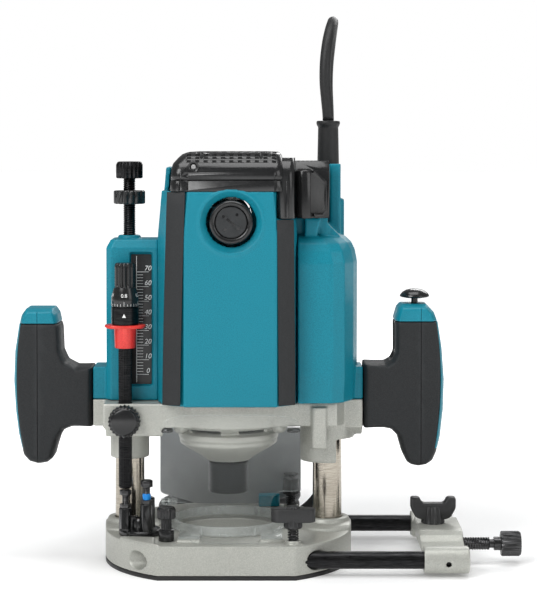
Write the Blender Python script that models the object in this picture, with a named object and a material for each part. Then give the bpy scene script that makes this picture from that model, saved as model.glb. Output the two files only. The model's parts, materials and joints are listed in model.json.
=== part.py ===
"""Large plunge router with two guide columns, side handles and a rod-mounted guide holder.

All lengths are in millimetres and become metres in the mesh builders. The machine's own axes have the
spindle axis at X = 0, Y = 0 and the underside of the sole at Z = 0; X runs from the left column to the right
one and Y from front to back. The empty "machine" moves those axes, so that the part's origin is under its
middle.
"""

import math

import bmesh
import bpy
from mathutils import Vector

MM = 0.001
GAP = 0.3  # clearance between pieces that touch

# Where the machine's axes lie in the part's frame
MACHINE_AT = (-26.2, -6.6, 0.0)

# Base
BASE_RADIUS = 85.0
BASE_FRONT = -71.8  # the flat that runs along a fence
SOLE_TOP = 2.5
BASE_TOP = 21.8
BOSS_TOP = 28.8
OPENING_RADIUS = 36.0
COLUMN_X = 68.3
COLUMN_RADIUS = 10.0
COLUMN_BORE = 7.7
COLUMN_TOP = 178.0
ROD_Y = 60.0
ROD_Z = 11.0
ROD_RADIUS = 5.8
CLAMP_X = 44.0

# Plunging part
BRACKET_BOTTOM = 95.0
BRACKET_TOP = 111.2
SHELL_BOTTOM = BRACKET_TOP + GAP
SHELL_WIDE = 47.0
SHELL_NARROW = 43.0
SHELL_TAPER_FROM = 225.0
SHELL_TOP = 270.0
CAP_BOTTOM = 254.9
CAP_TOP = 281.0
COVER_TOP = 221.0
COVER_CEILING = 214.5
BRUSH_AT = (3.0, 234.4)
FRONT_PANEL_Y = -55.5

# Depth stop
POLE_AT = (-69.2, -30.0)
POLE_RADIUS = 4.6
TURRET_AT = (-59.2, -30.0)
TURRET_RADIUS = 14.3
POST_CIRCLE = 10.0
PLATE_FRONT_Y = -18.4

# Handles
HANDLE_HALF_DEPTH = 18.0
BUTTON_X = 128.6

# Guide
HOLDER_FROM, HOLDER_TO = 130.5, 160.5
HOLDER_TOP = 22.5
FINE_SCREW_AT = (-22.0, 13.8)

# Cord
GUARD_AT = (70.2, 42.0)
GUARD_TOP = 302.4
CORD_DIAMETER = 8.0
COIL_AT = (0.0, 165.3)
COIL_MEAN_RADIUS = 42.0
COIL_HEIGHT = 24.0
PLUG_FROM_COIL = 36.0
CORD_ROUTE = [  # from the guard, up and over to the back, down to the floor and along to the coil
    (70.2, 42.0, 302.7),
    (70.0, 42.0, 308.0),
    (69.0, 42.0, 318.0),
    (68.0, 42.0, 330.0),
    (68.2, 42.4, 344.0),
    (69.8, 46.8, 357.6),
    (72.2, 56.0, 368.0),
    (74.0, 66.2, 373.2),
    (74.6, 76.2, 374.6),
    (74.8, 86.2, 373.2),
    (74.4, 96.4, 368.0),
    (73.4, 105.6, 357.6),
    (72.2, 110.0, 344.0),
    (71.8, 110.4, 328.0),
    (72.6, 110.2, 306.0),
    (73.0, 109.4, 270.0),
    (72.6, 108.4, 220.0),
    (72.0, 107.6, 170.0),
    (71.6, 107.1, 120.0),
    (71.5, 107.0, 80.0),
    (71.5, 107.0, 56.0),
    (70.3, 107.0, 35.0),
    (64.4, 107.0, 21.4),
    (54.4, 107.0, 11.2),
    (42.0, 107.0, 5.7),
    (30.0, 107.0, 4.3),
    (18.0, 107.0, 4.2),
    (1.0, 107.0, 4.2),
]

COLOURS = {
    "teal": (0.006, 0.20, 0.30, 0.38, 0.0),
    "cast": (0.55, 0.55, 0.51, 0.45, 0.8),
    "black": (0.012, 0.012, 0.013, 0.35, 0.0),
    "rubber": (0.035, 0.036, 0.037, 0.75, 0.0),
    "steel": (0.42, 0.41, 0.39, 0.22, 1.0),
    "clear": (0.75, 0.78, 0.78, 0.08, 0.0),
    "smoke": (0.22, 0.23, 0.24, 0.35, 0.0),
    "red": (0.60, 0.02, 0.015, 0.4, 0.0),
    "copper": (0.55, 0.22, 0.08, 0.35, 1.0),
    "brass": (0.55, 0.42, 0.15, 0.3, 1.0),
    "carbon": (0.03, 0.03, 0.03, 0.6, 0.0),
}


def clear_scene():
    for obj in list(bpy.data.objects):
        bpy.data.objects.remove(obj)


def material(name):
    """The shared Principled material of one finish."""
    if name in bpy.data.materials:
        return bpy.data.materials[name]
    red, green, blue, roughness, metallic = COLOURS[name]
    made = bpy.data.materials.new(name)
    made.use_nodes = True
    shader = made.node_tree.nodes["Principled BSDF"]
    shader.inputs["Base Color"].default_value = (red, green, blue, 1)
    shader.inputs["Roughness"].default_value = roughness
    shader.inputs["Metallic"].default_value = metallic
    return made


# ---- outlines: lists of (x, y) -------------------------------------------------------------------------


def arc(centre, radius, start, end, steps):
    """Points of an arc, from start to end in degrees."""
    return [
        (
            centre[0] + radius * math.cos(math.radians(start + (end - start) * i / steps)),
            centre[1] + radius * math.sin(math.radians(start + (end - start) * i / steps)),
        )
        for i in range(steps + 1)
    ]


def oblong(width, depth, radius, steps=4):
    """A rectangle with round corners, centred on zero."""
    x, y = width / 2 - radius, depth / 2 - radius
    corners = [((x, -y), -90), ((x, y), 0), ((-x, y), 90), ((-x, -y), 180)]
    return [p for at, start in corners for p in arc(at, radius, start, start + 90, steps)]


def base_outline():
    """The round base with its flat front."""
    flat = math.degrees(math.asin(BASE_FRONT / BASE_RADIUS))
    return arc((0, 0), BASE_RADIUS, flat, 180 - flat, 44)


# ---- meshes --------------------------------------------------------------------------------------------


def bridge(mesh, low, high):
    count = max(len(low), len(high))
    for i in range(count):
        j = (i + 1) % count
        if len(low) == 1:
            mesh.faces.new((low[0], high[j], high[i]))
        elif len(high) == 1:
            mesh.faces.new((low[i], low[j], high[0]))
        else:
            mesh.faces.new((low[i], low[j], high[j], high[i]))


def lofted(rings, closed=False):
    """A solid through rings of equal count. A closed loft joins its last ring to its first."""
    mesh = bmesh.new()
    rows = [[mesh.verts.new(Vector(point) * MM) for point in ring] for ring in rings]
    pairs = list(zip(rows, rows[1:])) + ([(rows[-1], rows[0])] if closed else [])
    for low, high in pairs:
        bridge(mesh, low, high)
    if not closed:
        for row in (rows[0], rows[-1]):
            if len(row) > 2:
                mesh.faces.new(row)
    bmesh.ops.recalc_face_normals(mesh, faces=mesh.faces)
    return mesh


def turned(profile, sides=20, at=(0, 0, 0), axis="Z", hollow=False):
    """A profile of (radius, height) turned about an axis. Hollow joins its ends into a ring."""
    rings = []
    for radius, height in profile:
        ring = []
        for i in range(1 if radius == 0 else sides):
            turn = 2 * math.pi * i / sides
            across, along = radius * math.cos(turn), radius * math.sin(turn)
            spot = {
                "X": (height, across, along),
                "Y": (along, height, across),
                "Z": (across, along, height),
            }[axis]
            ring.append(Vector(at) + Vector(spot))
        rings.append(ring)
    return lofted(rings, closed=hollow)


def rod(radius, start, end, sides=16, at=(0, 0, 0), axis="Z"):
    return turned([(radius, start), (radius, end)], sides, at, axis)


def tube(outer, inner, start, end, sides=24, at=(0, 0, 0), axis="Z"):
    profile = [(outer, start), (outer, end), (inner, end), (inner, start)]
    return turned(profile, sides, at, axis, hollow=True)


def plate(outline, low, high, axis="Z", at=(0, 0, 0)):
    """An outline given thickness along an axis. On X it holds (y, z), on Y (x, z), and on Z (x, y)."""
    spot = {"X": lambda p, h: (h, *p), "Y": lambda p, h: (p[0], h, p[1]), "Z": lambda p, h: (*p, h)}[axis]
    return lofted([[Vector(at) + Vector(spot(p, h)) for p in outline] for h in (low, high)])


def box(low, high):
    outline = [(low[0], low[1]), (high[0], low[1]), (high[0], high[1]), (low[0], high[1])]
    return plate(outline, low[2], high[2])


def coil_spring(at, mean, wire, low, high, turns, steps=7, sides=4):
    """A helix of round wire about a vertical line."""
    rings = []
    for i in range(turns * steps + 1):
        turn = 2 * math.pi * i / steps
        height = low + (high - low) * i / (turns * steps)
        out, up = Vector((math.cos(turn), math.sin(turn), 0)), Vector((0, 0, 1))
        centre = Vector((at[0], at[1], height)) + out * mean
        corners = [2 * math.pi * k / sides for k in range(sides)]
        rings.append([centre + (out * math.cos(c) + up * math.sin(c)) * wire for c in corners])
    return lofted(rings)


# ---- objects -------------------------------------------------------------------------------------------


def place(name, mesh, pivot):
    """An object holding this mesh, with its origin at the pivot, under the machine's empty."""
    bmesh.ops.translate(mesh, verts=mesh.verts, vec=-Vector(pivot) * MM)
    data = bpy.data.meshes.new(name)
    mesh.to_mesh(data)
    mesh.free()
    obj = bpy.data.objects.new(name, data)
    obj.parent = bpy.data.objects["machine"]
    obj.location = Vector(pivot) * MM
    bpy.context.collection.objects.link(obj)
    return obj


def piece(name, finish, mesh, pivot=(0, 0, 0), add=(), cut=()):
    """One sub-part: a mesh with other meshes joined to it and then others cut from it."""
    obj = place(name, mesh, pivot)
    obj.data.materials.append(material(finish))
    obj.data.shade_smooth()
    obj.data.set_sharp_from_angle(angle=math.radians(35))
    for operation, meshes in (("UNION", add), ("DIFFERENCE", cut)):
        for index, other in enumerate(meshes):
            helper = place(f"{name}_{operation.lower()}_{index}", other, pivot)
            helper.hide_render = True
            helper.display_type = "WIRE"
            modifier = obj.modifiers.new(operation.title(), "BOOLEAN")
            modifier.operation = operation
            modifier.object = helper
    return obj


def make_base():
    columns = [(-COLUMN_X, 0), (COLUMN_X, 0)]
    left_pad = arc((0, 0), BASE_RADIUS, 213, 237.6, 8)
    left_pad += [(-45.5, BASE_FRONT), (-49, -66), (-49, -47), (-60, -46)]
    bores = [rod(ROD_RADIUS + GAP, -95, 95, 16, (0, y, ROD_Z), "X") for y in (-ROD_Y, ROD_Y)]
    piece(
        "base_casting",
        "cast",
        plate(base_outline(), SOLE_TOP + GAP, BASE_TOP),
        add=[plate(left_pad, BASE_TOP - 2, BASE_TOP + 2)]
        + [turned([(15.5, 15), (15.5, 25), (14.5, BOSS_TOP)], 28, (x, y, 0)) for x, y in columns]
        + [rod(5, 18, 24.5, 14, (CLAMP_X, y, 0)) for y in (-ROD_Y, ROD_Y)],
        cut=[rod(OPENING_RADIUS, -1, 40, 36)]
        + [rod(COLUMN_RADIUS + GAP, 5.6, 40, 24, (x, y, 0)) for x, y in columns]
        + [rod(3.4, ROD_Z, 40, 12, (CLAMP_X, y, 0)) for y in (-ROD_Y, ROD_Y)]
        + bores,
    )
    piece("base_sole", "black", plate(base_outline(), 0, SOLE_TOP), cut=[rod(OPENING_RADIUS, -1, 5, 36)])
    for side, x in (("left", -COLUMN_X), ("right", COLUMN_X)):
        at = (x, 0, 0)
        piece(f"column_{side}", "steel", tube(COLUMN_RADIUS, COLUMN_BORE, 6, COLUMN_TOP, 28, at), at)
        spring = coil_spring(at, 6.3, 0.8, 10, COVER_CEILING - 1.5, 12)
        piece(f"plunge_spring_{side}", "steel", spring, at)


def make_height_stop():
    at = (-COLUMN_X, 0, 0)
    profile = [(0, 8), (4.5, 8), (4.5, 262.3), (9.2, 262.5), (9.2, 272.6), (7.6, 274), (0, 274)]
    piece("height_rod", "black", turned(profile, 20, at), at)
    profile = [(4.9, 244.8), (10.4, 244.8), (11, 246), (11, 252.8), (10.4, 254), (4.9, 254)]
    piece("height_nut", "black", turned(profile, 20, at, hollow=True), at)


def make_dust_parts():
    outline = [(-43.7, 47.5), (-24, 50)] + [(-24, BASE_TOP + GAP), (27.7, BASE_TOP + GAP)]
    outline += [(27.7, 52), (32, 56.8), (47.5, 56.8), (49, 101.5), (46, 104.4), (32, 107.2), (-28, 107.2)]
    outline += [(-41, 104.2), (-43.7, 101.5)]
    ear = box((-43.7, -60, 47.6), (-33, -46, 49.6))
    piece("chip_deflector", "clear", plate(outline, -61.5, -59, "Y"), add=[ear])
    at = (-40.4, -51, 0)
    profile = [(0, BASE_TOP + GAP), (3, BASE_TOP + GAP), (3, 36.8), (6.3, 36.8), (6.3, 44.5), (0, 44.5)]
    piece("deflector_screw", "black", turned(profile, 16, at), at)
    low = BASE_TOP + GAP
    feet = [box((x, -54, low), (x + 14.3, -24, low + 2)) for x in (-32.6, 22.7)]
    hole = rod(37.05, 15, 40, 40)
    piece("dust_ring", "clear", tube(40, 37, low, 28.2, 40), add=feet, cut=[hole])
    shield = [(-25, low), (25, low), (51.4, 30), (51.4, 58), (54.4, 72), (54.4, 78), (-51.7, 78)]
    shield += [(-51.7, 30)]
    piece("rear_dust_shield", "smoke", plate(shield, 76, 78, "Y"))


def make_stops():
    x, y = TURRET_AT
    posts = [(180, 40.0), (-60, 44.4), (60, 45.5)]
    spots = [arc(TURRET_AT, POST_CIRCLE, angle, angle, 1)[0] for angle, _ in posts]
    low = BASE_TOP + GAP
    piece(
        "stopper_turret",
        "black",
        turned([(0, low), (TURRET_RADIUS, low), (TURRET_RADIUS, 25.2), (13.4, 26), (0, 26)], 28, (x, y, 0)),
        (x, y, 0),
        add=[rod(3.9, 24, top, 14, (*spot, 0)) for spot, (_, top) in zip(spots, posts)]
        + [rod(5, 24, 33, 14, (x, y, 0))],
        cut=[rod(2.6, 29, 60, 12, (*spot, 0)) for spot in spots[:2]],
    )
    heads = {"low": (spots[0], 48.9, 52.3), "high": (spots[1], 55.8, 60.4)}
    for label, (spot, neck, top) in heads.items():
        profile = [(0, 29.6), (2.2, 29.6), (2.2, neck), (4.1, neck), (4.1, top), (0, top)]
        piece(f"stopper_bolt_{label}", "steel", turned(profile, 6, (*spot, 0)), (*spot, 0))


def make_clamps():
    for side, y, turn in (("front", -ROD_Y, 0), ("rear", ROD_Y, 90)):
        at = (CLAMP_X, y, 0)
        wings = oblong(29.4, 10, 5, 3)
        if turn:
            wings = [(-b, a) for a, b in wings]
        foot, shank, top = ROD_Z + ROD_RADIUS + 0.4, 31.8, 46.9
        profile = [(0, foot), (3, foot), (3, shank), (3.6, shank), (6.2, 41), (6.2, top), (0, top)]
        hub = turned(profile, 14, at)
        piece(f"rod_clamp_{side}", "rubber", hub, at, add=[plate(wings, 38, 45.4, at=at)])
    lever = [(-4, -4), (9, -3.4), (11.4, -1), (11.4, 3), (9, 4), (-4, 4)]
    at = (24.5, 67, 0)
    piece("template_lock_lever", "teal", plate(lever, BASE_TOP + GAP, 31, at=at), at)


def make_guide():
    for side, y in (("front", -ROD_Y), ("rear", ROD_Y)):
        piece(f"guide_rod_{side}", "black", rod(ROD_RADIUS, -40, 155, 16, (0, y, ROD_Z), "X"), (0, y, ROD_Z))
    nose = arc((-ROD_Y, ROD_Z), 8.8, 270, 90, 8)
    top = [(-53, 19.0), (-46, 14.5), (-34, 13.5), (-24, 20), (-14, HOLDER_TOP), (24, HOLDER_TOP)]
    top += [(38, 16), (52, 17)]
    back = arc((ROD_Y, ROD_Z), 8.8, 90, -90, 8)
    side = nose + top + back + [(50, 5), (-50, 5)]
    y, z = FINE_SCREW_AT
    bores = [rod(ROD_RADIUS + GAP, 120, 155.4, 16, (0, rod_y, ROD_Z), "X") for rod_y in (-ROD_Y, ROD_Y)]
    piece(
        "guide_holder",
        "cast",
        plate(side, HOLDER_FROM, HOLDER_TO, "X"),
        cut=bores + [rod(4.8, 148, 170, 16, (0, y, z), "X"), rod(3.3, 14, 30, 12, (142.1, 5, 0))],
    )
    at = (142.1, 5, 0)
    seat = HOLDER_TOP + GAP
    hub = turned([(0, 15), (3, 15), (3, seat), (8, seat), (6.5, 33), (0, 33)], 16, at)
    wings = [(-15.7, 41), (-15.7, 36), (-13, 29), (-6, 26), (6, 26), (13, 29), (15.7, 36), (15.7, 41)]
    wings += [(12, 41), (9, 33), (-9, 33), (-12, 41)]
    piece("guide_wing_knob", "rubber", hub, at, add=[plate(wings, -3, 3, "Y", at)])
    profile = [(0, 149), (4.4, 149), (4.4, 178), (3, 178), (3, 181.3), (4.6, 181.3), (4.6, 186.1)]
    profile += [(8.5, 186.1), (8.5, 198.6), (7.6, 199.4), (0, 199.4)]
    piece("fine_adjust_screw", "black", turned(profile, 18, (0, y, z), "X"), (0, y, z))


def make_bracket():
    left, right = (-COLUMN_X, 0), (COLUMN_X, 0)
    outline = [(-84, 14), (-84, -36.5), (-43.5, -36.5)] + arc((1.5, 0), 45, 238, 312, 8)
    outline += [(52, -30), (74, -30)] + arc(right, 19, -55, 60, 10) + [(54, 30)]
    outline += arc((1.5, 0), 45, 45, 135, 10) + [(-60, 20)]
    bell = [(45, BRACKET_TOP), (44, 101), (40, 93.5), (35, 90), (34.6, 84), (32, 80), (15, 68), (9.6, 68)]
    bell += [(9.6, 76.3), (15.3, 76.3), (15.3, 90), (37, 95), (41.5, BRACKET_TOP)]
    hollow = [rod(41.2, 96.8, 120, 36), rod(36.5, 94.9, 97, 36)]
    piece(
        "motor_bracket",
        "cast",
        turned(bell, 36, hollow=True),
        add=[
            plate(outline, BRACKET_BOTTOM, BRACKET_TOP),
            box((-82, -36.5, 89.2), (-43.5, -9, 100)),
            rod(13.4, 75.9, 100, 26, (*left, 0)),
            rod(18.7, 74.3, 100, 30, (*right, 0)),
            rod(5.4, 80.3, 108, 14, (62, -29, 0)),
            box((-92.4, -15, 93), (-83, 15, BRACKET_TOP)),
            box((80, -15, 92), (92.4, 15, BRACKET_TOP)),
            rod(7.6, 16, 27, 16, (-62, 0, 103), "Y"),
        ],
        cut=hollow
        + [
            rod(4.95, 80, 120, 16, (*POLE_AT, 0)),
            rod(3.5, -40, -30, 12, (-68.9, 0, 100.3), "Y"),
            rod(3.9, 36, 50, 12, (0, 0, 101), "Y"),
        ]
        + [rod(COLUMN_RADIUS + GAP, 70, 120, 24, (*at, 0)) for at in (left, right)],
    )


def shell_ring(z, half, side, thickness=0.0):
    """Half of the motor housing's section at a height: side -1 is the front, 1 the back."""
    fade = max(0.0, (z - SHELL_TAPER_FROM) / (SHELL_TOP - SHELL_TAPER_FROM))
    x = half + (SHELL_NARROW - SHELL_WIDE) * fade - thickness
    t = thickness
    seam = 0.2 * side
    if side < 0:
        outer = [(-x, -30 + t), (-x + 5.5, -47.5 + t), (-x + 18, -53.6 + t), (-x + 18.5, FRONT_PANEL_Y + t)]
        outer += [(x - 13.5, FRONT_PANEL_Y + t), (x - 13, -53.6 + t), (x - 3, -47.5 + t), (x, -30 + t)]
    else:
        outer = [(-x, 30 - t), (-x + 6, 46 - t), (-x + 19, 53.5 - t), (x - 19, 53.5 - t), (x - 6, 46 - t)]
        outer += [(x, 30 - t)]
    return [(-x, seam)] + outer + [(x, seam)]


def shell(name, side, top, cut):
    """One half of the motor housing, open at its top and bottom."""
    wall = 3.0
    rings = []
    for z in (SHELL_BOTTOM, SHELL_TAPER_FROM, top):
        outer = shell_ring(z, SHELL_WIDE, side)
        inner = shell_ring(z, SHELL_WIDE, side, wall)[::-1]
        rings.append([(x, y, z) for x, y in outer + inner])
    return piece(name, "teal", lofted(rings), cut=cut)


def make_housing():
    x, z = BRUSH_AT
    corner = box((32.8, -70, 236.3), (60, 10, 300))
    shell("front_housing", -1, CAP_BOTTOM - GAP, [rod(15, -70, -40, 28, (x, 0, z), "Y"), corner])
    shell("rear_housing", 1, SHELL_TOP, [rod(15, 40, 70, 28, (0, 0, z), "Y")])
    # Each cap's face, the edge of its bevel and its inner end, and then its brush's ends, along Y
    caps = {"front": (x, -57.3, -56.4, -46.5, (-46.0, -16.0)), "rear": (0, 55.2, 54.4, 45.0, (16.0, 44.5))}
    for side, (at_x, face, bevel, inner, (low, high)) in caps.items():
        profile = [(0, face), (13.2, face), (14.6, bevel), (14.6, inner), (0, inner)]
        at = (at_x, 0, z)
        piece(f"brush_cap_{side}", "black", turned(profile, 28, at, "Y"), at)
        half_width, half_height = 3.2, 5.5
        brush = box((-half_width, low, z - half_height), (half_width, high, z + half_height))
        piece(f"carbon_brush_{side}", "carbon", brush)
    strips = {  # outline and top
        "left": ([(-42.6, -48.6), (-31.4, -54.0), (-31.4, -56.0), (-43.2, -50.2)], 251.0),
        "right": ([(35.3, -54.0), (45.0, -48.6), (45.8, -50.2), (35.3, -56.0)], 236.0),
    }
    for side, (outline, top) in strips.items():
        piece(f"rubber_strip_{side}", "rubber", plate(outline, SHELL_BOTTOM + 1, top))


def make_vent_cap():
    middle, width, depth, corner_radius = (0.3, -7.1), 76.2, 96.2, 12.0

    def ring(z, inset):
        outline = oblong(width - 2 * inset, depth - 2 * inset, corner_radius, 5)
        return [(middle[0] + x, middle[1] + y, z) for x, y in outline]

    outer = [ring(CAP_BOTTOM, 0), ring(268, 1.2), ring(275.5, 6), ring(CAP_TOP - 1, 13), ring(CAP_TOP, 18)]
    inner = [ring(CAP_BOTTOM - 5, 3.2), ring(267, 4), ring(273, 9), ring(277, 16)]
    # The cap's right front corner reaches down beside the motor housing
    right = 45.4
    corner = box((33.4, -52.5, 236.8), (right, -38, CAP_BOTTOM + 6))
    arm = box((30, -50, CAP_BOTTOM + 0.2), (right, -30, 271))
    piece("vent_cap", "black", lofted(outer), add=[corner, arm], cut=[lofted(inner)])
    side = [(-38, 238), (-34, 236.2), (18, 236.2), (18, 270), (12, 274.5), (-30, 274.5), (-38, 266)]
    piece("switch_cover", "black", plate(side, 47.8, 68.6, "X"))


def make_gauge_cover():
    at = (-COLUMN_X, 0, 0)
    outline = [(-83, 14), (-83, -16.5), (-79.5, -20.2), (-47.5, -20.2), (-47.5, 18), (-79, 18)]
    shoulder = [(-80.5, 12), (-80.5, -14), (-77.5, -18), (-47.5, -18), (-47.5, 16), (-77, 16)]
    rings = [[(x, y, SHELL_BOTTOM) for x, y in outline], [(x, y, 216) for x, y in outline]]
    rings.append([(x, y, COVER_TOP) for x, y in shoulder])
    piece(
        "gauge_cover",
        "teal",
        lofted(rings),
        add=[rod(7.8, 215, 223.4, 22, at), box((-92.4, -14, SHELL_BOTTOM), (-80, 14, 133.6))],
        cut=[
            rod(COLUMN_RADIUS + 0.6, 100, COVER_CEILING, 24, at),
            rod(5.0, 200, 230, 16, at),
            box((-66.6, -25, 121.4), (-51.2, -17.4, 212.4)),
        ],
    )
    piece("scale_plate", "black", box((-65.9, PLATE_FRONT_Y, 122.4), (-52, -17.7, 211)))


def make_right_cover():
    def outline(inset):
        inner, front = 47.4, -37.8 + inset
        points = [(inner, front), (71 - inset, front), (79 - inset, front + 4), (85.5 - inset, -20)]
        points += [(88.6 - inset, -6), (88.6 - inset, 9), (85 - inset, 22), (77, 33 - inset)]
        return points + [(inner, 34 - inset)]

    levels = [(SHELL_BOTTOM, 0.8), (130, 0), (207, 0), (218, 3), (224, 8)]  # height and inset
    at = (COLUMN_X, 0, 0)
    piece(
        "right_cover",
        "teal",
        lofted([[(x, y, z) for x, y in outline(inset)] for z, inset in levels]),
        add=[
            box((70.4, 20, 215), (78.4, 31, 272)),
            box((58, 25, 200), (81, 52, 247.2)),
            box((82, -14, SHELL_BOTTOM), (92.4, 14, 133.6)),
        ],
        cut=[rod(COLUMN_RADIUS + 0.6, 100, COVER_CEILING, 24, at)],
    )


def grip_outline(side):
    """The grip's outline (x, z), from the neck's top round the upper and the lower lobe."""
    if side < 0:
        inner_top = [(-92.7, 133.4), (-104, 133.4), (-111, 137), (-114.2, 144), (-114.8, 159.2)]
        inner_top += [(-117.2, 169.6)]
        outer = [(-120, 173.6), (-138.2, 173.6), (-141.6, 169), (-143.4, 162), (-146.2, 144), (-147, 123.7)]
        outer += [(-145.8, 103), (-143.8, 87.5), (-140.5, 73), (-136.5, 68.4), (-130.2, 66.6), (-124, 67.6)]
        inner = [(-120.3, 70.6), (-118.6, 77), (-116.4, 84), (-112.8, 90), (-107, 92.3), (-92.7, 92.3)]
        return inner_top + outer + inner
    inner_top = [(92.7, 135.8), (108, 135.8), (112, 138.2), (114.2, 143), (114.2, 166), (116.4, 173.5)]
    inner_top += [(119, 176.3)]
    outer = [(136, 176.3), (141.1, 170.9), (143.8, 164), (146.6, 146.4), (148.2, 124.7), (147.6, 104)]
    outer += [(145.5, 85.7), (143, 75), (140.2, 68.8), (136, 66), (130.6, 65)]
    inner = [(125.6, 66), (122.6, 68.1), (119.8, 73.6), (116.4, 85.7), (112, 90.4), (107, 91.4)]
    return inner_top + outer + inner + [(92.7, 91.4)]


def inset_outline(outline, inset):
    """The outline drawn inwards by a distance, point by point."""
    pairs = list(zip(outline, outline[1:] + outline[:1]))
    spin = math.copysign(1, sum(a[0] * b[1] - b[0] * a[1] for a, b in pairs))
    moved = []
    for index, point in enumerate(outline):
        along = (Vector(outline[(index + 1) % len(outline)]) - Vector(outline[index - 1])).normalized()
        moved.append(Vector(point) + Vector((-along.y, along.x)) * inset * spin)
    return moved


def rounded(name, finish, outline, cut):
    """An outline in XZ given the handle's depth, with its front and back edges rounded in steps."""
    deep = HANDLE_HALF_DEPTH
    steps = [(-deep, 2.6), (-deep + 3, 0.9), (-deep + 7, 0.0), (deep - 7, 0.0), (deep - 3, 0.9), (deep, 2.6)]
    rings = [[(p.x, y, p.y) for p in inset_outline(outline, inset)] for y, inset in steps]
    return piece(name, finish, lofted(rings), cut=cut)


def make_handles():
    button_bore = (2.6, 150, 190, 12, (BUTTON_X, 0, 0))
    trigger_slot = ((108, -9.3, 137.6), (126.5, 9.3, 165.1))
    for side, label, cap_from in ((-1, "left", 163.4), (1, "right", 165.0)):
        outline = grip_outline(side)
        near, far = sorted((90 * side, 160 * side))
        grip_cuts = [box((near, -30, cap_from - GAP), (far, 30, 190))]
        cap_cuts = [box((near, -30, 40), (far, 30, cap_from))]
        if label == "right":
            grip_cuts += [box(*trigger_slot), rod(*button_bore)]
            cap_cuts += [rod(*button_bore)]
        rounded(f"handle_{label}", "rubber", outline, cut=grip_cuts)
        rounded(f"handle_{label}_cap", "teal", outline, cut=cap_cuts)
    trigger = [(114.4, 138.4), (119.9, 138.0), (120.4, 164.6), (115.0, 164.6)]
    piece("trigger", "black", plate(trigger, -9, 9, "Y"))
    at = (BUTTON_X, 0, 0)
    profile = [(0, 160), (2.3, 160), (2.3, 179.6), (9.6, 179.8), (10.2, 181), (8.6, 184), (4, 186.1)]
    piece("lock_button", "black", turned(profile + [(0, 186.1)], 22, at), at)


def make_levers():
    at = (-62, 0, 103)
    hub = turned([(0, 27.4), (8.5, 27.4), (8.5, 35), (0, 35)], 18, at, "Y")
    arm = [(-4, -6), (-18, -2.5), (-19.5, 0), (-18, 2.5), (-4, 6)]
    piece("plunge_lock_lever", "black", hub, at, add=[plate(arm, 28.4, 34, "Y", at)])
    at = (0, 0, 101)
    profile = [(0, 41.6), (3.5, 41.6), (3.5, 49), (6.5, 49), (6.5, 53.5), (0, 53.5)]
    piece("shaft_lock_button", "black", turned(profile, 16, at, "Y"), at)


def make_depth_gauge():
    at = (*POLE_AT, 0)
    profile = [(0, 53.4), (3.8, 53.4), (4.6, 54.4), (4.6, 164.4), (9.2, 164.4), (9.2, 176.2), (0, 176.2)]
    piece("depth_pole", "black", turned(profile, 22, at), at)
    profile = [(0, 176.6), (9.2, 176.6), (9.2, 181), (7.5, 189.2), (6.95, 189.6), (6.95, 205), (6, 206)]
    profile += [(0, 206)]
    piece("setting_drum", "black", turned(profile, 22, at), at)
    cup = turned([(5, 148.5), (6.9, 148.5), (7.4, 163), (5, 163)], 22, at, hollow=True)
    flange = plate(oblong(27.8, 17.2, 8, 4), 161.8, 164.1, at=at)
    piece("depth_pointer", "red", cup, at, add=[flange], cut=[rod(4.95, 140, 170, 22, at)])
    at = (-68.9, 0, 100.3)
    profile = [(0, -47), (8.4, -47), (10.9, -45.6), (10.9, -38.4), (9.6, -36.9), (3, -36.9), (3, -35)]
    profile += [(0, -35)]
    piece("pole_lock_knob", "black", turned(profile, 22, at, "Y"), at)


def make_motor():
    piece("stator", "steel", tube(42.5, 26.5, 130, 205, 32))
    shaft = [(0, 67.3), (8.5, 67.3), (8.5, 90), (6, 92), (6, 224), (15, 226), (15, 242), (6, 243), (6, 262)]
    shaft += [(0, 262)]
    piece("rotor_shaft", "steel", turned(shaft, 20))
    piece("rotor_core", "copper", tube(24.5, 6.4, 128, 207, 24))
    fan = [(37, 97), (37, 104), (12, 106), (6.4, 106), (6.4, 97)]
    piece("cooling_fan", "black", turned(fan, 28, hollow=True))
    nut = [(6.35, 45.6), (12.8, 45.6), (13.8, 46.8), (13.8, 66.9), (6.35, 66.9)]
    piece("collet_nut", "carbon", turned(nut, 24, hollow=True))
    piece("bearing_bottom", "steel", tube(15.0, 8.9, 76.7, 88, 24))
    piece("bearing_top", "steel", tube(13, 6.4, 248, 258, 20))


def smooth_route(points, spacing):
    """Points at an even spacing on a Catmull-Rom curve through the route's points."""
    ends = [points[0]] + points + [points[-1]]
    fine = []
    for a, b, c, d in zip(ends, ends[1:], ends[2:], ends[3:]):
        a, b, c, d = map(Vector, (a, b, c, d))
        for i in range(20):
            t = i / 20
            bend = (2 * a - 5 * b + 4 * c - d) * t**2 + (3 * b - a - 3 * c + d) * t**3
            fine.append(0.5 * (2 * b + (c - a) * t + bend))
    fine.append(Vector(points[-1]))
    length = sum((q - p).length for p, q in zip(fine, fine[1:]))
    count = round(length / spacing)
    picked, walked, wanted = [fine[0]], 0.0, length / count
    for p, q in zip(fine, fine[1:]):
        step = (q - p).length
        while walked + step >= wanted * len(picked) and len(picked) < count:
            picked.append(p.lerp(q, (wanted * len(picked) - walked) / step))
        walked += step
    return picked + [fine[-1]]


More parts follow.
